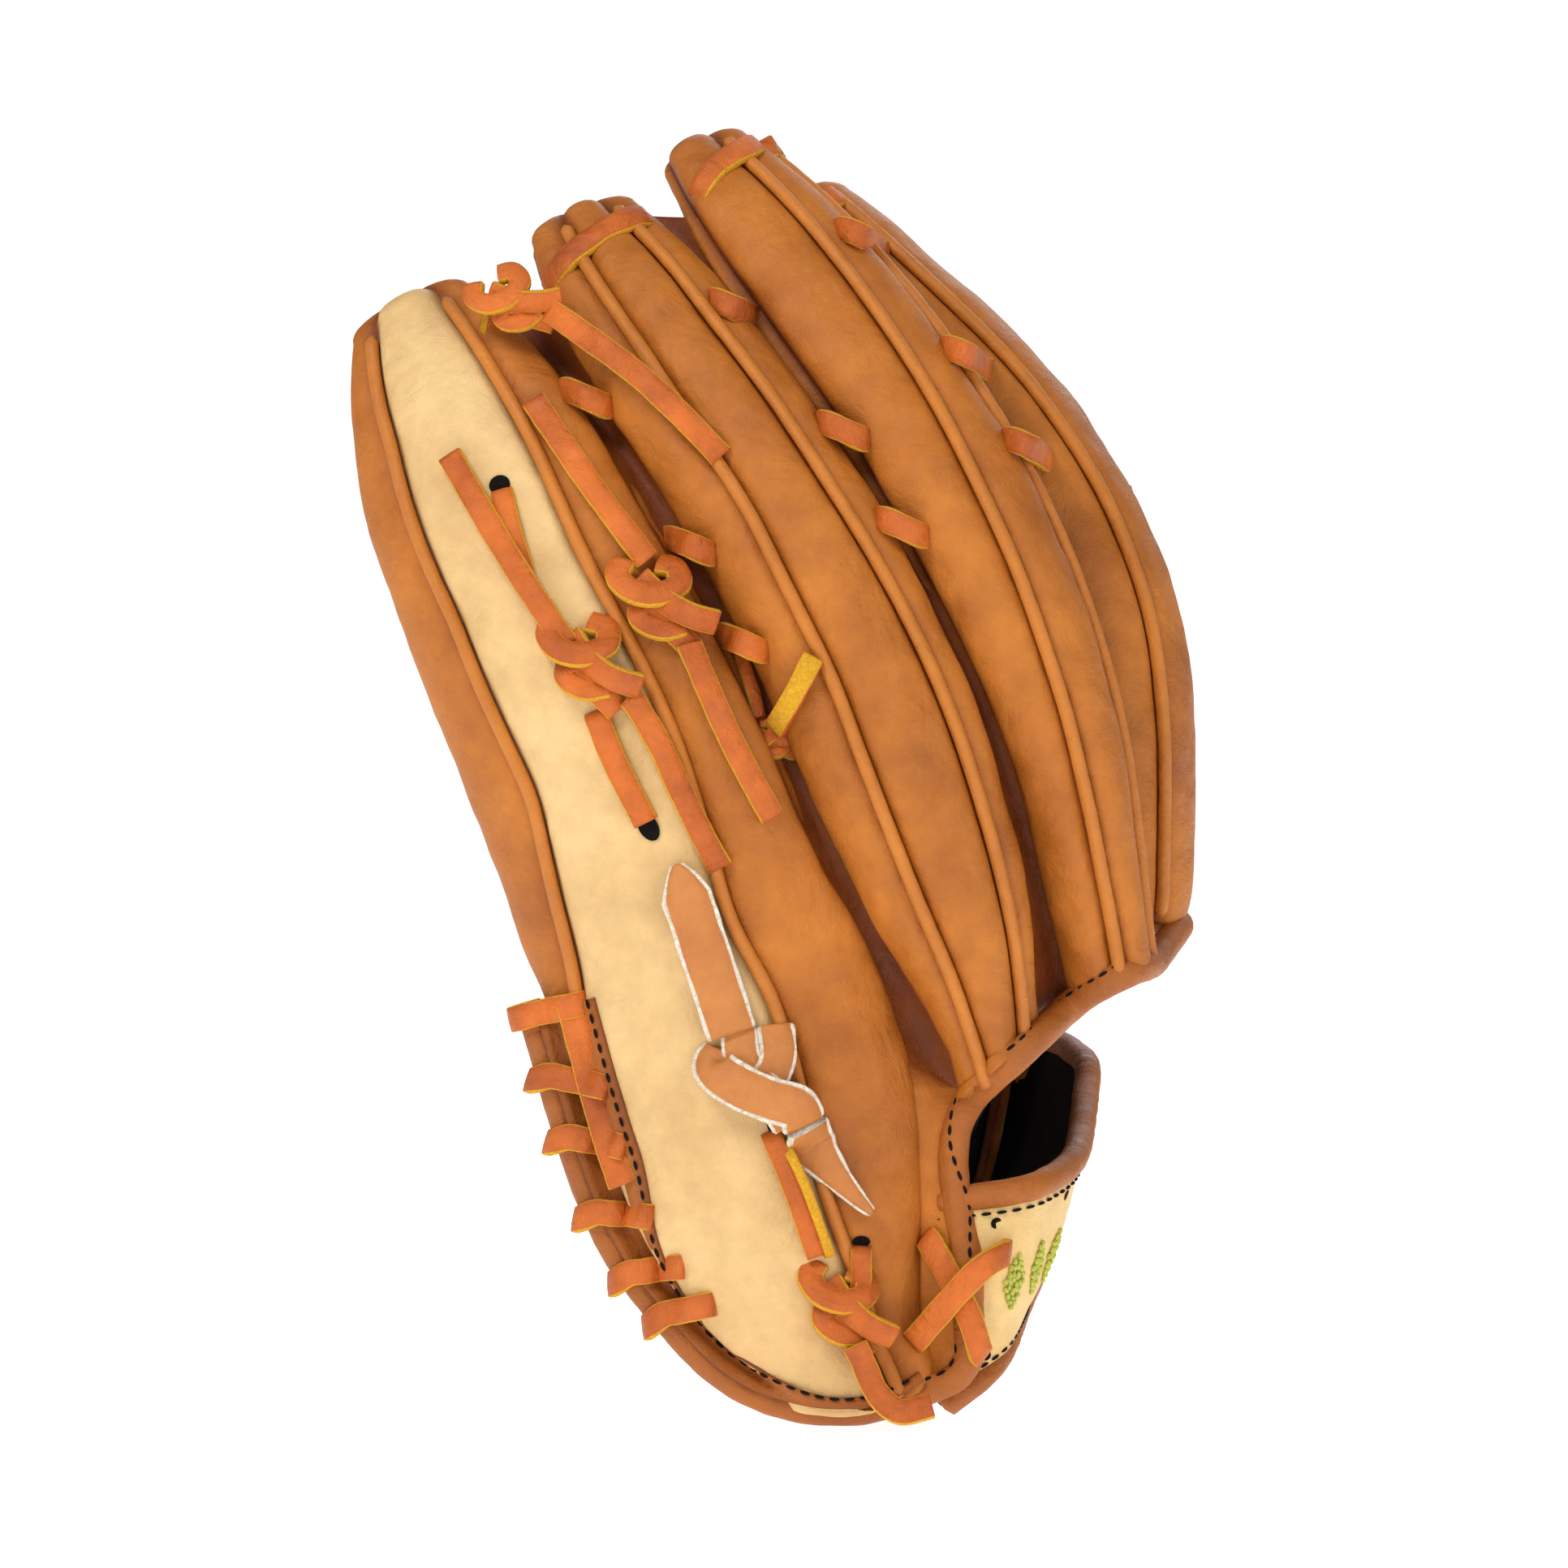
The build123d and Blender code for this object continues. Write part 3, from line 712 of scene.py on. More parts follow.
def build_tube(T, colours, body):
    """Leather panels, palm-side shell and lining sleeve of one finger."""
    edges = [np.full(ROWS, 3.0)] + T.seams + [np.full(ROWS, 177.0)]
    first_front = int(np.argmax(T.centre[:, 2] > T.front_low + 0.004))
    flip = T.name != "thumb"
    cols = 40
    for n, suffix in enumerate(T.order):
        first = -HEM_ROWS
        if edges[n + 1][0] < 6:
            first = int(np.argmax(edges[n + 1] > 6))
        count = ROWS + CAP - first
        grid = np.zeros((count, cols, 3))
        shade = np.zeros((count, cols))
        for i in range(count):
            k = i + first
            row = max(0, min(k, ROWS - 1))
            a0, a1 = edges[n][row], edges[n + 1][row]
            end = max(0, k - ROWS + 1) / CAP
            for j in range(cols):
                f = 0.5 - 0.5 * math.cos(math.pi * j / (cols - 1))
                angle = a0 + (a1 - a0) * f
                a, b = T.half[row]
                c, s = cos_sin(angle)
                speed = math.hypot(a * s, b * c) * math.pi / 180
                near = min(angle - a0, a1 - angle) * speed
                groove = math.exp(-(near / 0.0024) ** 2)
                puff = 0.0011 * math.sin(math.pi * f) - 0.0019 * groove
                p = low_point(T, min(k, row), angle, puff + 0.0013)
                wave = ripple(p, 42) * 0.0007 + ripple(p + 7, 120) * 0.00022
                p = rounded(T, row, p, end)
                out = unit(p - T.centre[row])
                grid[i, j] = p + out * wave * (1 - groove) * (1 if end < 0.4 else 0.3)
                # Painted shade: darker in the seam grooves and on the sides facing the valleys
                # between fingers, plus random darker patches.
                valley_shade = 0.0
                if T.name in ("pinky", "ring", "middle"):
                    valley_shade = max(0.0, 1 - (177 - angle) / 24)
                if T.name in ("ring", "middle", "index"):
                    valley_shade = max(valley_shade, 1 - (angle - 3) / 20)
                shade[i, j] = 0.85 * math.exp(-(near / 0.0016) ** 2) + 0.25 * max(
                    0, -ripple(p + 3, 60)) + 0.5 * max(valley_shade, 0) * eased(k / 30)
        colour = colours.get(suffix, TAN)
        panel = sheet(T.name + "_" + suffix, grid, PANEL, [colour, TAN_DEEP, colour],
                      shade, flip)
        attach(panel, body, "blond_leather" if colour is BLOND else "tan_leather",
               T.name + "_back_" + suffix)
    front = np.zeros((ROWS - first_front + CAP, 44, 3))
    shade = np.zeros(front.shape[:2])
    for k in range(front.shape[0]):
        row = min(first_front + k, ROWS - 1)
        end = max(0, first_front + k - ROWS + 1) / CAP
        for j in range(44):
            f = 0.5 - 0.5 * math.cos(math.pi * j / 43)
            angle = 182 + 176 * f
            near = min(f, 1 - f)
            groove = math.exp(-(near / 0.03) ** 2)
            p = rounded(T, row, T.point(row, angle, 0.0008 - 0.0016 * groove), end)
            wave = ripple(p, 36) * 0.0009 + ripple(p + 5, 110) * 0.0003
            front[k, j] = p + unit(p - T.centre[row]) * wave * (1 - groove)
            # Painted shade in the grooves along the shell's edges, plus random darker patches.
            shade[k, j] = 0.7 * groove + 0.2 * max(0, -ripple(p, 50))
    shell = sheet(T.name + "_palm_side", front, PANEL, [TAN, TAN_DEEP, LINING], shade, flip)
    attach(shell, body, "tan_leather", T.name + "_front")
    sleeve = np.zeros((ROWS - 8, 49, 3))
    for k in range(ROWS - 8):
        span = (0, 360) if k >= first_front else (4, 176)
        for j in range(49):
            angle = span[0] + (span[1] - span[0]) * j / 48
            sleeve[k, j] = T.point(k + 4, angle, -0.0032)
    inside = {"pinky": ("finger_linings", "finger_pads", "pinky_stay"),
              "thumb": ("thumb_lining", "thumb_pad", "thumb_stay")}
    attach(sheet(T.name + "_lining", sleeve, 0.0009, [LINING], flip=flip), body, "lining",
           *inside.get(T.name, ()))


def seam_line(T, seam, lift, first=0, last=ROWS):
    """Line along a seam of a finger, lifted off it."""
    return np.array([low_point(T, k, T.seams[seam][max(k, 0)], lift)
                     for k in range(first, last)])


TUBES = {name: Tube(name, ["left", "right"] if name == "index" else
                    ["left", "centre", "right"])
         for name in ("pinky", "ring", "middle", "index", "thumb")}
for name, data in TUBES.items():
    side = "thumb_side" if name == "thumb" else "finger_side"
    build_tube(data, {"centre": BLOND} if name in ("pinky", "thumb") else {}, side)
    for number, seam in enumerate(data.seams):
        first = 1 - HEM_ROWS
        if seam[0] < 6:
            first = int(np.argmax(seam > 3.2))
        line = seam_line(data, number, 0.0013, first, ROWS - 1)
        piece = tube(name + "_welt_" + str(number), line, 0.00155, [PIPING], wobble=0.05)
        attach(piece, side, "piping_leather")
        if number == 0 and name in ("pinky", "thumb"):
            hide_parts("finger_welts" if name == "pinky" else "thumb_welts")
pinky, ring, middle, index, thumb = TUBES.values()


# ------------------------------------------------------------------ leather between fingers
def side_at(T, z, angle, lift):
    """Place on a finger's side at a height, down to the hem."""
    k = level_row(T.centre, z)
    if z >= T.centre[0, 2]:
        return low_point(T, k, angle, lift)
    drop_rows = (T.centre[0, 2] - z) / REACH[T.name] * HEM_ROWS
    return low_point(T, -min(drop_rows, HEM_ROWS), angle, lift)


def corner_bulge(p):
    """Shifts the roll beside the wrist opening outwards, in front of the strap."""
    share = 1 - eased(abs(p[2] - 0.030) / 0.038)
    return p + np.array([0.0022, -0.0046, 0]) * share


def opening_side(z):
    """Place on the opening's edge roll at a height below its turn."""
    low = OPENING_LINE[OPENING_LINE[:, 2] < OPENING_TURN + 0.004]
    low = np.vstack([BEND, low[low[:, 2] > CORNER[2] + 0.022]])
    low = low[np.argsort(low[:, 2])]
    return corner_bulge(between(z, low[:, 2], low))


for left, right, bottom in (("pinky", "ring", -0.002), ("ring", "middle", 0.078),
                            ("middle", "index", 0.09)):
    a, b = TUBES[left], TUBES[right]
    top = min(a.centre[-1, 2], b.centre[-1, 2]) + 0.005
    grid = np.zeros((110, 11, 3))
    shade = np.zeros(grid.shape[:2])
    for i, z in enumerate(np.linspace(bottom, top, 110)):
        flush = 0.0
        if left == "pinky":
            flush = eased((OPENING_TURN + 0.012 - z) / 0.014)
        near = side_at(a, z, 168 - 8 * flush, -0.001 + 0.0016 * flush)
        if left == "pinky" and z < OPENING_TURN:
            far = opening_side(z) + BACK * 0.0022 * flush
        else:
            far = side_at(b, z, 12, -0.001)
        for j in range(11):
            f = j / 10
            p = near + (far - near) * f - BACK * 0.0035 * math.sin(math.pi * f) * (1 - flush)
            grid[i, j] = p + BACK * ripple(p, 60) * 0.0006
            # Painted shade: the leather between two fingers is darkened, most in the middle of
            # the valley.
            shade[i, j] = (0.55 + 0.4 * math.sin(math.pi * f)) * (1 - flush)
    attach(sheet("gusset_" + left + "_" + right, grid, 0.0016, [TAN, TAN_DEEP, TAN_DEEP],
                 shade, flip=True), "finger_side", "tan_leather")


# ------------------------------------------------------------------ draping on the leather
def surface_tree(names):
    """Ray-casting tree over finished leather pieces."""
    verts, faces = [], []
    for name in names:
        mesh = bpy.data.objects[name].data
        base = len(verts)
        verts += [v.co.copy() for v in mesh.vertices]
        faces += [tuple(base + i for i in p.vertices) for p in mesh.polygons]
    return BVHTree.FromPolygons(verts, faces)


FINGER_SKINS = [finger + "_" + panel for finger, data in TUBES.items() if finger != "thumb"
                for panel in data.order]
FINGER_SKINS += ["gusset_pinky_ring", "gusset_ring_middle", "gusset_middle_index"]
SKIN = surface_tree(FINGER_SKINS)


def skin_at(x, z, fallback_y):
    """Place and outward normal of the finger backs seen square from the back."""
    hit = SKIN.ray_cast(Vector((x, CAD_LOW.y - 0.1, z)), Vector((0, 1, 0)))
    if hit[0] is None:
        return np.array([x, fallback_y, z]), BACK.copy()
    return np.array(hit[0]), unit(toward(np.array(hit[1]), BACK))


def drape(path, lift, count=48, arch=0.0, degree=3):
    """A curve through x, z control places laid on the finger backs, and its facings."""
    flat = curve([(p[0], 0, p[1]) for p in path], count)
    points, normals, hits = [], [], []
    for p in flat:
        here, n = skin_at(p[0], p[2], np.nan)
        hits.append(not math.isnan(here[1]))
        points.append(here)
        normals.append(n)
    points, hits = np.array(points), np.array(hits)
    at = np.linspace(0, 1, count)
    points[:, 1] = np.interp(at, at[hits], points[hits, 1])
    even = np.polyval(np.polyfit(at, points[:, 1], degree), at)
    points[:, 1] = even - np.maximum(even - points[:, 1], 0).max() * 0.55
    normals = np.array([np.polyval(np.polyfit(at, np.array(normals)[:, a], 2), at)
                        for a in range(3)]).T
    normals = np.array([unit(n + BACK * 1.1) for n in normals])
    rise = lift + arch * np.sin(np.linspace(0, math.pi, count))
    return points + normals * rise[:, None], normals


def plan(v):
    """Place seen square from the back."""
    return (v[0], v[2])


def far_end(name):
    """Knot end and loose end of a tail node."""
    points = points_of(name)
    start = np.array(JOINTS[name + "_lift"]["pos_m"])
    reach = np.linalg.norm(points - start, axis=1)
    return start, points[reach > reach.max() * 0.93].mean(0)


W = 0.0056              # width of a lace
TH = 0.0022             # thickness of a lace


def laces(name, parts, body, *nodes, mats=(LACE, LACE_EDGE)):
    """One piece from several lengths of lace, fixed to a body."""
    return attach(merge(name, parts, mats), body, "lace_rawhide", *nodes)


def surface_axes(n):
    """Directions to the right and up on a surface with this outward normal."""
    right = unit(np.cross(UP, -n))
    right = right if right[0] > 0 else -right
    return right, toward(unit(np.cross(right, n)), UP)


def wrap_facing(path, n, spread, lean, rounds):
    """Facings of a lace wrapped over a knot: outwards and away from its middle."""
    face = []
    for p, d in zip(path, tangents(path)):
        out = n + unit(p - path.mean(0)) * spread + lean
        face.append(across_line(out, d))
    return smooth(face, rounds)


# ------------------------------------------------------------------ loose tails
def tail(name, bend, lift=0.0019, arch=0.0015, under=0.0018):
    """A loose lace end from its knot, bent sideways, resting on the leather."""
    start, end = far_end(name)
    along = unit((end - start) * np.array([1, 0, 1]))
    side = np.array([-along[2], 0, along[0]])
    first = start - along * under
    path = [plan(first)] + [plan(start + (end - start) * f + side * b)
                            for f, b in zip((0.0, 0.25, 0.5, 0.75, 1.0), bend)]
    points, normals = drape(path, lift, 60, arch)
    for k in range(10):
        points[k] += normals[k] * 0.0009 * (1 - k / 10)
    laces(name + "_lace", [strip_parts(points, normals, W, TH)], name, name)


tail("tail_a_upper", (0, 0.0003, 0.0004, 0.0002, 0), arch=0.002)
tail("tail_a_lower", (0, 0.0002, -0.0003, -0.0002, 0.0004), arch=0.0015)
tail("tail_b_upper", (0, 0.0005, 0.0006, 0.0003, 0), arch=0.002)
tail("tail_b_lower", (0, -0.0004, -0.0006, -0.0003, 0.0003), arch=0.002)
tail("tail_tip", (0, 0.0004, 0.0008, 0.0006, 0.0), lift=0.0028, arch=0.003)


# ------------------------------------------------------------------ knots
def knot_parts(x, z, turn, size, bands, depth=None):
    """Flat lace wraps of a knot lying on the leather."""
    base, n = skin_at(x, z, CAD_LOW.y)
    if depth is not None:
        base = np.array([x, depth, z])
    n = unit(n * 0.4 + BACK * 0.6)
    right, up = surface_axes(n)
    c, s = cos_sin(turn)
    parts = []
    for band, tilt in bands:
        path = [base + (right * (u * c - v * s) + up * (u * s + v * c)) * MM * size
                + n * MM * (h * size * 0.92 + 0.6) for u, v, h in band]
        dense = curve(path, 34)
        face = wrap_facing(dense, n, 0.2, (up * c - right * s) * tilt, 4)
        parts.append(strip_parts(dense, face, W * min(1, size * 1.05), TH, -0.1))
    return parts


# Wraps of a square knot: places to the right, upwards and out of the leather, in millimetres.
COLLAR = [(-8.4, 10.0, 0.2), (-10.0, 6.4, 2.4), (-7.0, 2.8, 4.6), (-1.6, 1.8, 5.2),
          (3.2, 3.8, 3.6), (2.8, 7.6, 0.6), (-1.0, 9.0, -0.4)]
ACROSS = [(-5.0, 6.0, 0.8), (-2.2, 2.4, 2.8), (1.8, -1.4, 5.8), (6.0, -3.8, 6.0),
          (10.8, -5.2, 4.0)]
UNDER = [(-4.5, 6.0, 1.0), (-2.6, -1.0, 2.4), (1.2, -6.0, 2.8), (5.4, -10.5, 1.0)]
LOOP = [(-5.0, 1.0, 1.4), (-5.6, -3.0, 2.6), (-1.5, -5.6, 3.6), (3.5, -5.0, 2.6)]
# Each wrap with the tilt of its face.
SQUARE = [(UNDER, 0.0), (LOOP, 0.5), (COLLAR, 0.55), (ACROSS, -0.3)]

spots = sorted([points.mean(0) for points in islands("lace_knots")], key=lambda p: -p[2])
parts = []
for spot, turn, size in zip(spots, (4, 0, 30, -6), (1.0, 1.0, 0.5, 0.95)):
    parts += knot_parts(spot[0], spot[2], turn, size, SQUARE)
laces("knots", parts, "finger_side", "lace_knots")


# ------------------------------------------------------------------ stubs between fingers
parts = []
for points in islands("crotch_laces"):
    mid = points.mean(0)
    near = [skin_at(mid[0] + dx, mid[2] - dx * 0.35, mid[1] + 0.004) for dx in (-0.0052, 0.0052)]
    ends = [near[0][0] + BACK * 0.0003, near[1][0] + BACK * 0.0003]
    top = (ends[0] + ends[1]) / 2
    top[1] = min(ends[0][1], ends[1][1]) - 0.0022
    path = curve([ends[0] + [0, 0.003, 0], ends[0] + [0.0012, -0.0012, 0], top,
                  ends[1] + [-0.0012, -0.0012, 0], ends[1] + [0, 0.003, 0]], 26)
    face = [unit(BACK - np.array([0.9 * math.cos(math.pi * k / 25), 0, 0]))
            for k in range(26)]
    parts.append(strip_parts(path, face, W, TH))
laces("crotch_stubs", parts, "finger_side", "crotch_laces")


# ------------------------------------------------------------------ fingertip lace
def across(T, k0, k1, a0, a1, lift=0.0026, count=26):
    """Lace laid across a fingertip, its ends diving into the leather."""
    points, face = [], []
    for i in range(count):
        f = i / (count - 1)
        k = int(round(k0 + (k1 - k0) * f))
        dive = 0.0042 * (math.exp(-f / 0.06) + math.exp(-(1 - f) / 0.06))
        p = T.point(k, a0 + (a1 - a0) * f, lift - dive)
        points.append(p)
        face.append(unit(p - T.centre[k]))
    return strip_parts(smooth(points, 3), smooth(face, 3), W, TH)


parts = [across(ring, 140, 145, 12, 158), across(middle, 139, 146, 18, 128),
         across(middle, 145, 147, 126, 172, 0.003),
         across(index, 145, 146, 4, 70), across(pinky, 141, 146, 140, 178)]
joint_spot = (pinky.point(146, 160, 0) + ring.point(143, 20, 0)) / 2 + [0.001, 0, -0.003]
parts += knot_parts(joint_spot[0], joint_spot[2], 30, 0.8, SQUARE,
                    min(pinky.point(140, 120, 0.003)[1], ring.point(136, 60, 0.003)[1]))
laces("tip_lace_run", parts, "finger_side", "tip_lace")


# ------------------------------------------------------------------ roll bindings
ROLL = 0.0035           # radius of the rolled edge
STITCH = (0.0022, 0.0013)       # length of a stitch and the gap after it


def to_skin(line, inset, sink):
    """Moves an edge roll to the depth of the leather it closes."""
    out = line.copy()
    t = tangents(line)
    for i, p in enumerate(line):
        hit = p + toward(unit(np.cross(t[i], BACK)), ring.centre[40] - p) * inset
        here, _ = skin_at(hit[0], hit[2], p[1])
        out[i, 1] = min(here[1] + sink, p[1])
    return smooth(out, 24)


upper = to_skin(OPENING_LINE[OPENING_LINE[:, 2] > CORNER[2] + 0.022], 0.006, 0.0015)
base = [low_point(TUBES["index"], -HEM_ROWS, a, 0.0012) + [0, 0, -0.001]
        for a in (112, 132, 152, 172)]
edge_line = np.vstack([HEEL_LINE[:-3:3], BEND[1:], upper[2:-3:3], base])
edge_line = smooth(resample(edge_line, 300), 3)
for i, p in enumerate(edge_line):
    if p[0] > CORNER[0] - 0.004:
        edge_line[i] = corner_bulge(p)
seam, outs = [], []
for p, d in zip(edge_line, tangents(edge_line)):
    aim = pinky.centre[24] if p[0] < CORNER[0] + 0.004 else ring.centre[20]
    side = across_line(unit((aim - p) * np.array([1, 0.15, 1])), d)
    outs.append(unit(BACK * 0.75 + side * 0.75))
    seam.append(p + outs[-1] * ROLL * 0.97)
stitches = merge("edge_roll_thread", stitch_parts(seam, smooth(outs, 6), *STITCH, 0.00042),
                 [THREAD])
attach(tube("edge_roll", edge_line, ROLL, [BINDING], 18, 0.92, 0.05), "finger_side",
       "binding_leather", "heel_binding")
attach(stitches, "finger_side", "binding_leather", "opening_binding")
attach(tube("thumb_roll", THUMB_LINE, 0.0034, [BINDING], 18, 0.92, 0.05), "thumb_side",
       "binding_leather", "thumb_binding")


# ------------------------------------------------------------------ palm
def fold_point(z):
    """Point of the fold line at a height."""
    return FOLD_POS + FOLD_AXIS * ((z - FOLD_POS[2]) / FOLD_AXIS[2])


def fold_over(obj, z, reach):
    """Works out places within a reach in front of and behind the fold line, and bakes the
    piece's transform into its mesh; the piece is not bent.
    """
    front, behind = fold_point(z) + BACK * reach, fold_point(z) - BACK * reach
    tuple(front)
    tuple(behind)
    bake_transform(obj)


def palm_grid(levels, grow, columns=84):
    """Grid of the palm from the finger edge round the fold to the thumb edge."""
    finger, thumb_half = soup("palm_fingers"), soup("palm_thumb")
    rows = []
    for z in levels:
        a, b = level_cut(finger, z), level_cut(thumb_half, z)
        fold = fold_point(z)
        rows.append((a[:, 0].min(), b[:, 0].min(), max(a[:, 0].max(), b[:, 0].max()),
                     a[:, 1].min(), b[:, 1].max(), fold[1]))
    rows = smooth(rows, 3)
    grid = np.zeros((len(levels), columns, 3))
    for i, (z, row) in enumerate(zip(levels, rows)):
        left_f, left_t, bottom, near, far, fold_y = row
        for j in range(columns):
            angle = -90 + 180 * j / (columns - 1)
            left = left_f if angle < 0 else left_t
            depth = (fold_y - near) if angle < 0 else (far - fold_y)
            reach = bottom - left + grow
            depth += grow
            c, s = cos_sin(angle)
            grid[i, j] = (min(left + reach * c, CAD_HIGH.x - 0.004), fold_y + depth * s, z)
    return grid


halves = [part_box("palm_fingers"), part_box("palm_thumb")]
palm_low = max(box[0].z for box in halves) + 0.0008
palm_high = min(box[1].z for box in halves) - 0.0008
pocket = palm_grid(np.linspace(palm_low, palm_high, 70), -0.0018)
shade = np.zeros(pocket.shape[:2])
for i in range(pocket.shape[0]):
    for j in range(pocket.shape[1]):
        p = pocket[i, j]
        fold = math.exp(-((j / 83 - 0.5) / 0.05) ** 2)
        wave = ripple(p, 26) * 0.0016 + ripple(p + 4, 90) * 0.0005 - fold * 0.0008
        pocket[i, j] = p + unit(p - fold_point(p[2]) - [0.05, 0, 0]) * wave
        # Painted shade along the palm's fold, plus random darker patches.
        shade[i, j] = 0.35 * fold + 0.3 * max(0, ripple(p, 45))
inner_top = min(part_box("palm_lining_fingers")[1].z, palm_high)
inner_levels = np.linspace(palm_low, inner_top - 0.0006, 40)
palm = sheet("palm_leather", pocket, 0.0021, [TAN, TAN_DEEP, LINING], shade)
felt = sheet("palm_felt", palm_grid(inner_levels, 0.0042), 0.0034, [FELT], flip=True)
hand_side = sheet("palm_lining", palm_grid(inner_levels, 0.0062), 0.0008, [LINING], flip=True)
for obj, kind, slot in ((palm, "palm", "tan_leather"), (felt, "palm_pad", "felt"),
                        (hand_side, "palm_lining", "lining")):
    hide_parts(kind + "_fingers", kind + "_thumb")
    fold_over(obj, 0.06, 0.014)


# ------------------------------------------------------------------ web
def band_rows(name, count, step=0.004, reach=0.02, skewed=4):
    """Middle line, width direction, width of a flat band node, its start squared."""
    rows = march(soup(name), step, reach)
    square = rows[skewed]
    back = unit(square[0] - rows[skewed + 2][0])
    rows = [(square[0] + back * step * (skewed - 0.6), *square[1:])] + rows[skewed:]
    return resample([r[0] for r in rows], count, np.array([np.r_[r[2], r[3]] for r in rows]))


def band_sheet(name, rows, thick, bulge, columns=18):
    """Leather band with rounded, slightly puffed cross-section."""
    grid = np.zeros((len(rows), columns, 3))
    shade = np.zeros(grid.shape[:2])
    t = tangents(rows[:, :3])
    for i, row in enumerate(rows):
        wide = across_line(row[3:6], t[i])
        out = toward(np.cross(wide, t[i]), RIGHT)
        for j in range(columns):
            f = j / (columns - 1) * 2 - 1
            p = row[:3] + wide * f * row[6] / 2
            p = p + out * (thick / 2 + bulge * (1 - f * f) + ripple(p, 60) * 0.0005)
            grid[i, j] = p
            shade[i, j] = 0.4 * max(0, abs(f) - 0.86) / 0.14 + 0.2 * max(0, ripple(p, 70))
    return sheet(name, grid, thick, [TAN, TAN_DEEP], shade, facing=RIGHT)


def closest_skin(T, p, lift=-0.002):
    """Place of a finger's surface closest to a point."""
    rows_near = [k for k in range(0, ROWS, 2) if abs(T.centre[k, 2] - p[2]) < 0.02]
    places = [T.point(k, a, lift) for k in rows_near for a in range(0, 360, 12)]
    return min(places, key=lambda q: np.linalg.norm(q - p))


def nearer_first(line, T):
    """Turns a line so that it starts at the given finger."""
    hub = T.centre[level_row(T.centre, line[0][2])]
    near, far = np.linalg.norm(line[0][:3] - hub), np.linalg.norm(line[-1][:3] - hub)
    return line if near < far else line[::-1]


def stretch(obj, finger, root, tip):
    """Bakes a piece's transform into its mesh; it is not bent between the finger and the web."""
    if finger == "index":
        tuple(root)
        tuple(tip)
        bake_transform(obj)
    else:
        tuple(root)
        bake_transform(obj)


post = band_rows("web_post", 40)
attach(band_sheet("web_post_leather", post, 0.0034, 0.0012), "web", "tan_leather",
       "web_post", "web_bar", "web_lace_index", "web_lace_thumb")

bar = nearer_first(band_rows("web_bar", 40), index)
first, last = bar[0].copy(), bar[-1].copy()
first[:3] = closest_skin(index, bar[0, :3])
last[:3] = closest_skin(thumb, bar[-1, :3])
bar = np.vstack([first, bar[3:-3], last])
bar = resample(bar[:, :3], 61, bar[:, 3:])
stretch(band_sheet("web_bar_index", bar[:31], 0.0036, 0.0014), "index", bar[0, :3],
        bar[30, :3])
stretch(band_sheet("web_bar_thumb", bar[30:], 0.0036, 0.0014), "thumb", bar[-1, :3],
        bar[30, :3])

for finger in ("index", "thumb"):
    node = "web_lace_" + finger
    parts, starts, stops = [], [], []
    for points in islands(node):
        mid = points.mean(0)
        aim = post[level_row(post, mid[2]), :3]
        reach = (points - mid) @ unit(aim - mid)
        near = points[reach < reach.min() + 0.0015].mean(0)
        far = points[reach > reach.max() - 0.0015].mean(0)
        start = closest_skin(TUBES[finger], near)
        stop = far + unit(aim - far) * 0.005
        starts.append(start)
        stops.append(stop)
        dense = curve([start, (near + mid) / 2, (mid + far) / 2, stop], 26)
        parts.append(strip_parts(dense, np.array([unit([1, 0.2, 0])] * 26), W, TH))
    stretch(merge(node + "_strips", parts, [LACE, LACE_EDGE]), finger,
            np.mean(starts, axis=0), np.mean(stops, axis=0))

heel_sheet = np.zeros((len(THUMB_LINE), 7, 3))
shade = np.full(heel_sheet.shape[:2], 0.2)
for i, p in enumerate(THUMB_LINE):
    near = closest_skin(thumb, p, -0.003)
    for j in range(7):
        heel_sheet[i, j] = p + (near - p) * j / 6
heel_sheet = smooth(heel_sheet.reshape(len(THUMB_LINE), -1), 4).reshape(heel_sheet.shape)
attach(sheet("thumb_heel_leather", heel_sheet, 0.0016, [TAN, TAN_DEEP, TAN], shade),
       "thumb_side", "tan_leather")


# ------------------------------------------------------------------ wrist strap
def strap_sections(count=120):
    """Lower and upper edge of the strap, swept round the wrist."""
    tris = soup("wrist_strap", "strap_tab")
    points = tris.reshape(-1, 3)
    hub = np.array([points[:, 0].min() - 0.012, (points[:, 1].min() + points[:, 1].max()) / 2,
                    0.0])
    turns = np.degrees(np.arctan2(points[:, 1] - hub[1], points[:, 0] - hub[0]))
    rows = []
    for turn in np.linspace(turns.min() + 1.5, turns.max() - 1.5, 60):
        out = np.array([*cos_sin(turn), 0])
        got = cut(tris, hub, np.cross(out, UP))
        got = got[(got - hub) @ out > 0]
        if len(got) < 4:
            continue
        low = got[got[:, 2] < got[:, 2].min() + 0.0025].mean(0)
        high = got[got[:, 2] > got[:, 2].max() - 0.0025].mean(0)
        rows.append(np.r_[low, high])
    tall = np.array([r[5] - r[2] for r in rows])
    rows = np.array(rows)[tall > np.median(tall) * 0.93]
    rows = np.vstack([rows[0] + (rows[0] - rows[3]) * 1.2 + [-0.004, 0.007, 0] * 2,
                      rows[0] + (rows[0] - rows[3]) * 0.5 + [-0.002, 0.002, 0] * 2, rows])
    for k in range(18):
        rows[k, [1, 4]] += 0.013 * (1 - eased(k / 18))
    margin = (rows[:, 3:] - rows[:, :3]) * 0.13
    even = resample(rows[:, :3] - margin, count, rows[:, 3:] + margin)
    return smooth(even[:, :3], 40), smooth(even[:, 3:6], 24)


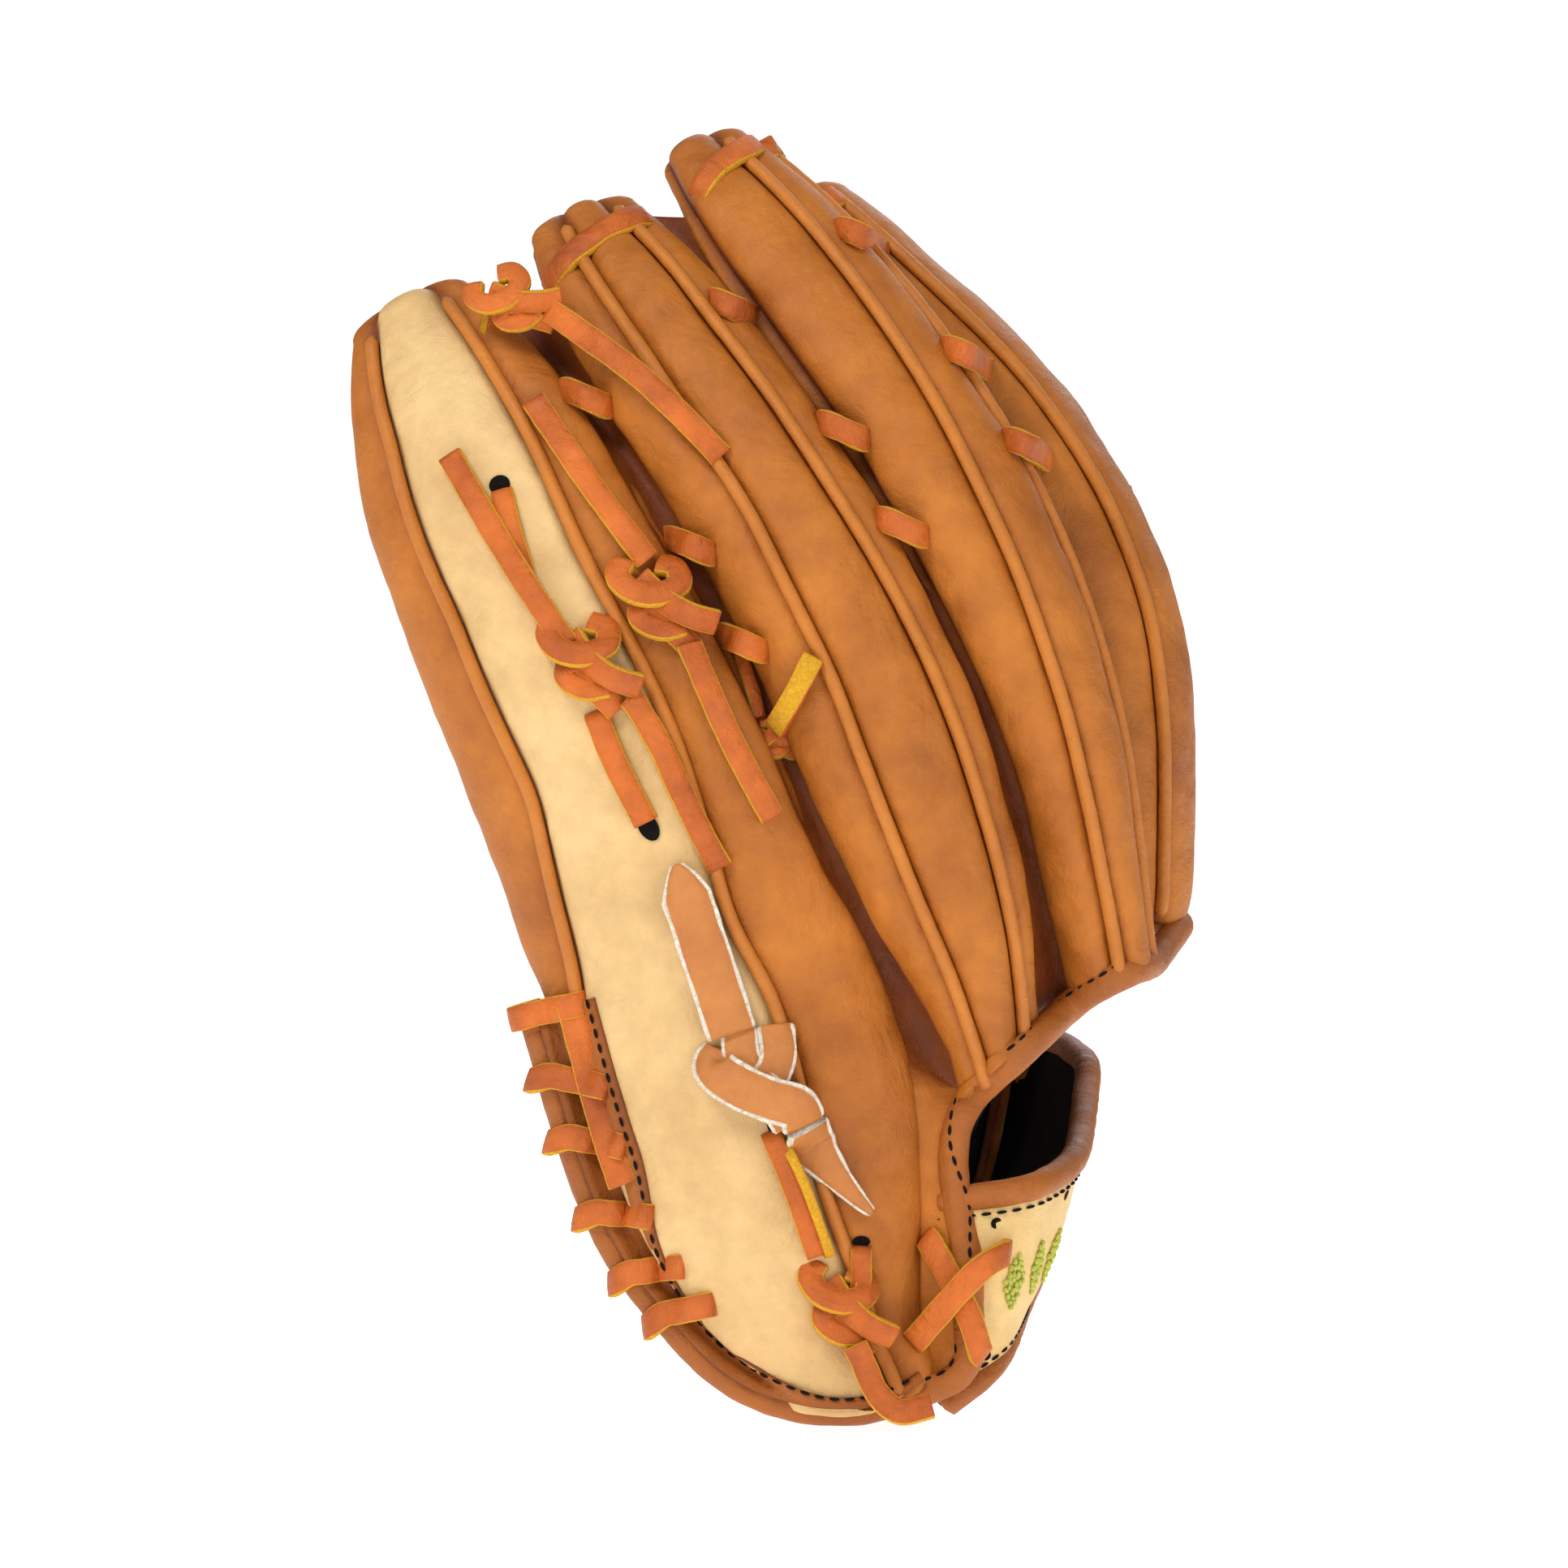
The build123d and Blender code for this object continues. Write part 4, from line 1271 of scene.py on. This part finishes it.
LOW_EDGE, HIGH_EDGE = strap_sections()
COLUMNS = 34
band = np.zeros((len(LOW_EDGE), COLUMNS, 3))
run = tangents((LOW_EDGE + HIGH_EDGE) / 2)
outward = np.array([unit(np.cross(d, h - l)) for d, h, l in zip(run, HIGH_EDGE, LOW_EDGE)])
outward = outward * (1 if outward[len(outward) // 2][0] > 0 else -1)
shade = np.zeros(band.shape[:2])
for i in range(len(LOW_EDGE)):
    for j in range(COLUMNS):
        f = j / (COLUMNS - 1)
        p = LOW_EDGE[i] + (HIGH_EDGE[i] - LOW_EDGE[i]) * f
        swell = 0.0016 * math.sin(math.pi * f)
        band[i, j] = p + outward[i] * (swell + 0.0014 + ripple(p, 45) * 0.0007)
        near = min(f, 1 - f)
        shade[i, j] = 0.5 * math.exp(-(near / 0.07) ** 2) + 0.2 * max(0, ripple(p, 60))
strap = sheet("strap_band", band, 0.0034, [STRAP, TAN_DEEP, LINING], shade,
              facing=outward[len(band) // 2])
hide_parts("wrist_strap", "strap_tab", "strap_padding")
trim = []
for word, line, other in (("low", LOW_EDGE, HIGH_EDGE), ("high", HIGH_EDGE, LOW_EDGE)):
    inward = np.array([unit(o - p) for o, p in zip(other, line)])
    roll = tube("strap_roll_" + word, line, 0.0031, [BINDING], 16, 1.0, 0.06)
    seam = line + inward * 0.0036 + outward * 0.0022
    thread = merge("strap_thread_" + word, stitch_parts(seam, outward, *STITCH, 0.0004),
                   [THREAD])
    trim += [roll, thread]
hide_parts("strap_bindings")
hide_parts("strap_tab_bindings")


wall = np.zeros((24, 9, 3))
low, high = LOW_EDGE[-1], HIGH_EDGE[-1]
for i, z in enumerate(np.linspace(low[2], high[2] + 0.012, 24)):
    near = thumb.point(level_row(thumb.centre, z), 172, -0.003)
    far = low + (high - low) * min(max((z - low[2]) / (high[2] - low[2]), 0), 1)
    for j in range(9):
        p = near + (far - near) * j / 8
        wall[i, j] = p + [0, 0.004 * math.sin(math.pi * j / 8), 0]
attach(sheet("wrist_gap_lining", wall, 0.0012, [LINING, LINING, TAN], flip=True),
       "thumb_side", "lining")


def on_strap(row, share, lift=0.0004):
    """Place on the strap's face at a row and a share of its height."""
    r = int(np.clip(row, 0, len(LOW_EDGE) - 1))
    c = share * (COLUMNS - 1)
    j = int(np.clip(c, 0, COLUMNS - 2))
    p = band[r, j] * (1 - (c - j)) + band[r, j + 1] * (c - j)
    return p + outward[r] * lift, outward[r]


GREEN = fibre("lime_thread", srgb(222, 226, 110), srgb(176, 184, 66), 2400.0, 0.7)
motif = []
for middle_row in (17, 26, 35):
    for scale in (0.95, 0.6, 0.28):
        corners = [(middle_row + 2.7 * u * scale, 0.5 + 0.17 * v * scale)
                   for u, v in ((-1, 0), (0, 1), (1, 0), (0, -1), (-1, 0))]
        for a, b in zip(corners[:-1], corners[1:]):
            steps = [on_strap(a[0] + (b[0] - a[0]) * f, a[1] + (b[1] - a[1]) * f)
                     for f in np.linspace(0, 1, 8)]
            motif += stitch_parts([p for p, _ in steps], [o for _, o in steps], 0.0016,
                                  0.0002, 0.0006)
motif = merge("strap_motif", motif, [GREEN])
# Painted shadows of punched holes in the strap.
punched = []
for row, share in ((11, 0.86), (11, 0.14), (34, 0.86), (34, 0.14)):
    p, out = on_strap(row, share, 0.0002)
    side = unit(np.cross(out, UP))
    punched.append(disc(p, side * 0.0013, np.cross(side, out) * 0.0013, p - out * 0.0002, 14))
punched = merge("strap_hole_shadows", punched, [HOLE_SHADOW])
for obj in [strap, motif, punched] + trim:
    fold_over(obj, 0.04, 0.02)


# ------------------------------------------------------------------ heel flange and lacing
SKIN = surface_tree(FINGER_SKINS + ["edge_roll"])
heel_t = tangents(HEEL_LINE)
inside = smooth([toward(unit(np.cross(d, BACK)), pinky.centre[30] - p)
                 for p, d in zip(HEEL_LINE, heel_t)], 10)
flange = np.zeros((len(HEEL_LINE), 9, 3))
shade = np.zeros(flange.shape[:2])
for i, p in enumerate(HEEL_LINE):
    wide = (0.0045 + 0.0085 * eased((p[2] - 0.012) / 0.04)) * (
        1 - 0.45 * eased((p[0] + 0.034) / 0.022))
    for j in range(9):
        f = j / 8
        q = p + inside[i] * (0.001 + wide * f)
        here, n = skin_at(q[0], q[2], p[1])
        y = here[1] - 0.0011 * (1 - f * f) - 0.0008
        flange[i, j] = (q[0], min(y, p[1] + 0.001), q[2])
        shade[i, j] = 0.6 * math.exp(-((1 - f) / 0.1) ** 2) + 0.3 * math.exp(-(f / 0.2) ** 2)
flange[:, :, 1] = smooth(flange[:, :, 1], 6)
attach(sheet("heel_flange", flange, 0.0012, [BINDING, TAN_DEEP], shade, facing=BACK),
       "finger_side", "binding_leather")
seam = flange[:, 7] + BACK * 0.0006
piece = merge("heel_flange_thread", stitch_parts(seam, BACK, 0.0022, 0.0012, 0.0004),
              [THREAD])
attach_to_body(piece, "finger_side")
SKIN = surface_tree(FINGER_SKINS + ["edge_roll", "heel_flange"])

parts = []
loops = sorted([points.mean(0) for points in islands("heel_lace")], key=lambda p: -p[2])
for number, mid_loop in enumerate(loops):
    i = int(np.argmin(np.linalg.norm((HEEL_LINE - mid_loop)[:, [0, 2]], axis=1)))
    p, d, n = HEEL_LINE[i], heel_t[i], inside[i]
    lean = toward(d, -UP) * (0.5 if number else 0.05)
    length = 0.0115 - 0.0003 * number
    path = []
    for f, dive in ((1.0, 0.003), (0.94, -0.0010), (0.6, -0.0021), (0.3, -0.0021)):
        q = p + (n + lean) * length * f
        here, _ = skin_at(q[0], q[2], p[1])
        path.append(np.array([q[0], here[1] + dive, q[2]]))
    r = 0.0046
    path += [p + BACK * r * 0.95, p - n * r * 0.75 + BACK * r * 0.66, p - n * r,
             p - n * r * 0.6 - BACK * r * 0.75, p + n * 0.002 - BACK * r]
    dense = curve(path, 46)
    axis = unit(d - (n + lean) * (d @ (n + lean)))
    face = np.array([unit(np.cross(axis, v)) for v in tangents(dense)])
    if face[12] @ BACK < 0:
        face = -face
    parts.append(strip_parts(dense, face, 0.0058, TH))
ends = [level_row(HEEL_LINE, loops[number][2]) for number in (0, 3)]
span = range(min(ends), max(ends) + 1, 2)
under = [plan(HEEL_LINE[i] + inside[i] * 0.0088) for i in span]
points, normals = drape(under, 0.0012, 60, degree=4)
parts.append(strip_parts(points, smooth(normals * 0.3 + BACK, 3), 0.0066, 0.0016))
laces("heel_lacing", parts, "finger_side", "heel_lace")


# ------------------------------------------------------------------ crossed strap lace
SKIN = surface_tree(FINGER_SKINS + ["edge_roll", "heel_flange", "strap_band",
                                    "strap_roll_low"])
cross_mid = points_of("strap_lace").mean(0)
parts = []
for track in ([(-0.0055, 0.0095), (-0.001, 0.002), (0.0035, -0.0075), (0.0056, -0.0165)],
              [(0.0105, 0.007), (0.006, 0.0035), (0.0, -0.0035), (-0.0085, -0.0135)]):
    points, normals = drape([(cross_mid[0] + u, cross_mid[2] + v) for u, v in track],
                            0.0018 + 0.0028 * len(parts), 40, degree=3)
    points[0] -= BACK * 0.003
    points[-1] -= BACK * 0.003
    parts.append(strip_parts(points, normals, 0.0058, TH))
laces("strap_cross_lace", parts, "finger_side", "strap_lace")


# ------------------------------------------------------------------ pull strap
def fuzzy_strip(name, path, facing, widths, body, *nodes):
    """Wide leather strip with torn, fluffy white edges."""
    blade = merge(name, [strip_parts(path, facing, widths, 0.0024)], [PULL, FUZZ])
    attach(blade, body, "tan_leather", *nodes)
    wide = np.array([unit(np.cross(d, out)) for d, out in zip(tangents(path), facing)])
    for sign, word in ((-1, "_fluff_a"), (1, "_fluff_b")):
        line = path + wide * sign * widths[:, None] / 2 + facing * 0.0006
        attach(tube(name + word, line, 0.00048, [FUZZ], 9, 1.0, 0.7), body, "tan_leather")


ends = points_of("pull_strap")
top_end = ends[ends[:, 2] > ends[:, 2].max() - 0.002].mean(0)
low_end = ends[ends[:, 2] < ends[:, 2].min() + 0.004].mean(0)
run_down = low_end - top_end
points, normals = drape([plan(top_end - run_down * 0.06), plan(top_end + run_down * 0.3),
                         plan(top_end + run_down * 0.7), plan(low_end + run_down * 0.32)],
                        0.002, 60, 0.001)
widths = np.array([0.0104 * min(1, 0.12 + 0.88 * (k / 14) ** 0.7) for k in range(60)])
fuzzy_strip("pull_strap_blade", points, normals, widths, "finger_side", "pull_strap")

knot_mid = points_of("pull_strap_knot").mean(0)
# Wraps of the pull strap's knot, in millimetres like those of the square knots.
PULL_BANDS = [
    [(-5.0, 13.0, 0.4), (-4.0, 6.0, 2.4), (1.5, -1.0, 3.2), (6.0, -7.5, 1.2)],
    [(-8.6, 8.0, 0.2), (-10.4, 4.8, 2.8), (-6.0, 1.4, 5.6), (1.0, -1.6, 6.4),
     (7.4, -3.8, 4.6), (9.0, -7.4, 1.0)],
    [(2.8, 14.0, 0.2), (3.4, 8.6, 2.4), (1.8, 3.4, 3.2), (-2.0, 0.0, 2.0)],
]
base, n = skin_at(knot_mid[0], knot_mid[2], knot_mid[1])
n = unit(n * 0.5 + BACK * 0.5)
right, up = surface_axes(n)
for number, track in enumerate(PULL_BANDS):
    path = curve([base + (right * u + up * v + n * (h + 0.8)) * MM for u, v, h in track], 36)
    fuzzy_strip("pull_knot_" + str(number), path, wrap_facing(path, n, 0.3, 0, 5),
                np.full(36, 0.0092 if number == 1 else 0.0074), "finger_side",
                *["pull_strap_knot"] * (number == 1))

start, end = far_end("tail_pull")
points, normals = drape([plan(start - (end - start) * 0.16), plan(start + (end - start) * 0.3),
                         plan(end + (end - start) * 0.12)], 0.002, 40)
for k in range(12):
    points[k] += normals[k] * 0.0022 * (1 - k / 12)
widths = np.array([0.0098 * (1 - 0.85 * max(0, (k - 14) / 25.0)) for k in range(40)])
fuzzy_strip("tail_pull_blade", points, normals, widths, "tail_pull", "tail_pull")

start, end = far_end("tail_heel")
low_path = [start + [-0.0005, -0.004, 0.0012], start + [0.0015, -0.0035, -0.003],
            start + [0.0045, -0.0045, -0.0095], start + [0.0095, -0.0055, -0.0135],
            start + [0.0165, -0.0045, -0.0122]]
dense = curve(low_path, 40)
face = np.array([unit(BACK - v * (BACK @ v) + [0, 0, 0.35 * k / 40])
                 for k, v in enumerate(tangents(dense))])
laces("tail_heel_lace", [strip_parts(dense, face, W, TH)], "tail_heel", "tail_heel")


# ------------------------------------------------------------------ short lace runs and painted hole shadows
def knot_spot(number, u, v):
    """Plan place u, v millimetres right and up of a knot."""
    return (spots[number][0] + u * MM, spots[number][2] + v * MM)


# Knot number, places from it, lift off the leather, width, and 1 for the yellow side out.
RUNS = [
    (1, [(-20.5, 38), (-18.5, 30), (-15.5, 20)], 0.0004, 0.0052, 0),
    (1, [(0.5, -11), (5, -22), (11.5, -35)], 0.0008, 0.0056, 0),
    (2, [(-7, 20), (-5, 12), (-3, 5)], 0.0008, 0.003, 0),
    (2, [(2, 3), (5.5, 9), (9, 18)], 0.0026, 0.005, 1),
    (3, [(-17, 39), (-12.8, 28), (-7.0, 12)], 0.0014, 0.0046, 0),
    (3, [(-13.4, 36), (-10.2, 28), (-4.4, 12)], 0.0022, 0.0024, 1),
    (3, [(3, 13), (3.5, 8), (2, 3)], 0.0024, 0.0046, 0),
]
rawhide, suede = [], []
for knot_number, track, lift, width, yellow in RUNS:
    path = [knot_spot(knot_number, u, v) for u, v in track]
    points, normals = drape(path, lift, 34, 0.0012, 2)
    points[0] -= normals[0] * 0.0025
    (suede if yellow else rawhide).append(strip_parts(points, normals, width, 0.002))
laces("lace_runs", rawhide, "finger_side")
laces("lace_runs_suede", suede, "finger_side", mats=(LACE_EDGE, LACE))

# Knot number, place from it, half width, half height and turn of a hole's painted shadow.
HOLES = [(1, -21, 39.5, 2.4, 2.2, 20), (1, 12, -36, 2.2, 3.4, 30), (3, -16, 41, 1.9, 2.9, 20),
         (3, 3, 15, 2.0, 1.3, 0)]
parts = []
places = [(knot_spot(k, u, v), a, b, turn) for k, u, v, a, b, turn in HOLES]
places.append(((low_end[0] + 0.0005, low_end[2] + 0.0022), 2.2, 4.2, 8))
for (x, z), a, b, turn in places:
    middle_hole, n = skin_at(x, z, CAD_LOW.y)
    right, up = surface_axes(n)
    c, s = cos_sin(turn)
    parts.append(disc(middle_hole + n * 0.0004, (right * c + up * s) * a * MM,
                      (up * c - right * s) * b * MM, middle_hole + n * 0.0001, 20))
attach(merge("lace_hole_shadows", parts, [HOLE_SHADOW]), "finger_side", "lining")


# ------------------------------------------------------------------ CAMERA_AND_LIGHT
DISTANCE = 2.1          # metres from the camera to the glove's middle
SENSOR = 36.0
PICTURE = 1.1747        # height of the picture as a share of the glove's height
AIM = 0.4825            # height looked at as a share of the glove's height
SOFTBOXES = (((-0.6, -0.95, 1.1), 0.5, 11.5), ((1.2, -1.3, 0.7), 0.8, 6.0),
             ((0.4, 1.5, 1.2), 1.2, 10))      # place, size, power
SKY, SEEN_SKY = 0.34, 1.1       # strength of the light around, and of the backdrop


def studio():
    """Camera square to the finger backs, pale floor and soft light."""
    scene = bpy.context.scene
    mid = (CAD_LOW + CAD_HIGH) / 2
    size = CAD_HIGH - CAD_LOW
    target = Vector((mid.x + 0.0022, mid.y, CAD_LOW.z + size.z * AIM))
    cam = in_scene("camera", bpy.data.cameras.new("camera"))
    cam.data.sensor_width = SENSOR
    cam.data.lens = SENSOR * (DISTANCE - size.y * 0.36) / (size.z * PICTURE)
    cam.data.clip_start = 0.05
    cam.location = target + Vector((0, -DISTANCE, 0))
    cam.rotation_euler = (math.radians(90), 0, 0)
    scene.camera = cam

    mat = bpy.data.materials.new("floor")
    add = node_maker(mat)
    where = add("ShaderNodeTexCoord").outputs["Object"]
    soft = add("ShaderNodeTexNoise", Vector=where, Scale=9.0, Detail=3.0).outputs["Fac"]
    pale = two_tone(add, soft, (0.93,) * 3, (0.97,) * 3)
    surface(add, Roughness=0.9, Base_Color=pale, Emission_Color=pale, Emission_Strength=0.9)
    bpy.ops.mesh.primitive_plane_add(size=14, location=(0, 0, CAD_LOW.z - 0.002))
    floor = bpy.context.object
    floor.name = "floor"
    floor.data.materials.append(mat)

    scene.world = bpy.data.worlds.new("world")
    add = node_maker(scene.world)
    around, seen = [add("ShaderNodeBackground", Color=(1, 1, 1, 1), Strength=strength)
                    for strength in (SKY, SEEN_SKY)]
    ray = add("ShaderNodeLightPath").outputs["Is Camera Ray"]
    mix = add("ShaderNodeMixShader", Fac=ray)
    for slot, light in ((1, around), (2, seen)):
        scene.world.node_tree.links.new(light.outputs["Background"], mix.inputs[slot])
    add("ShaderNodeOutputWorld", Surface=mix.outputs["Shader"])
    for spot, width, power in SOFTBOXES:
        lamp = in_scene("softbox", bpy.data.lights.new("softbox", "AREA"))
        lamp.data.energy = power
        lamp.data.size = width
        lamp.location = spot
        lamp.rotation_euler = (target - Vector(spot)).to_track_quat("-Z", "Y").to_euler()
    scene.view_settings.view_transform = "Standard"


studio()
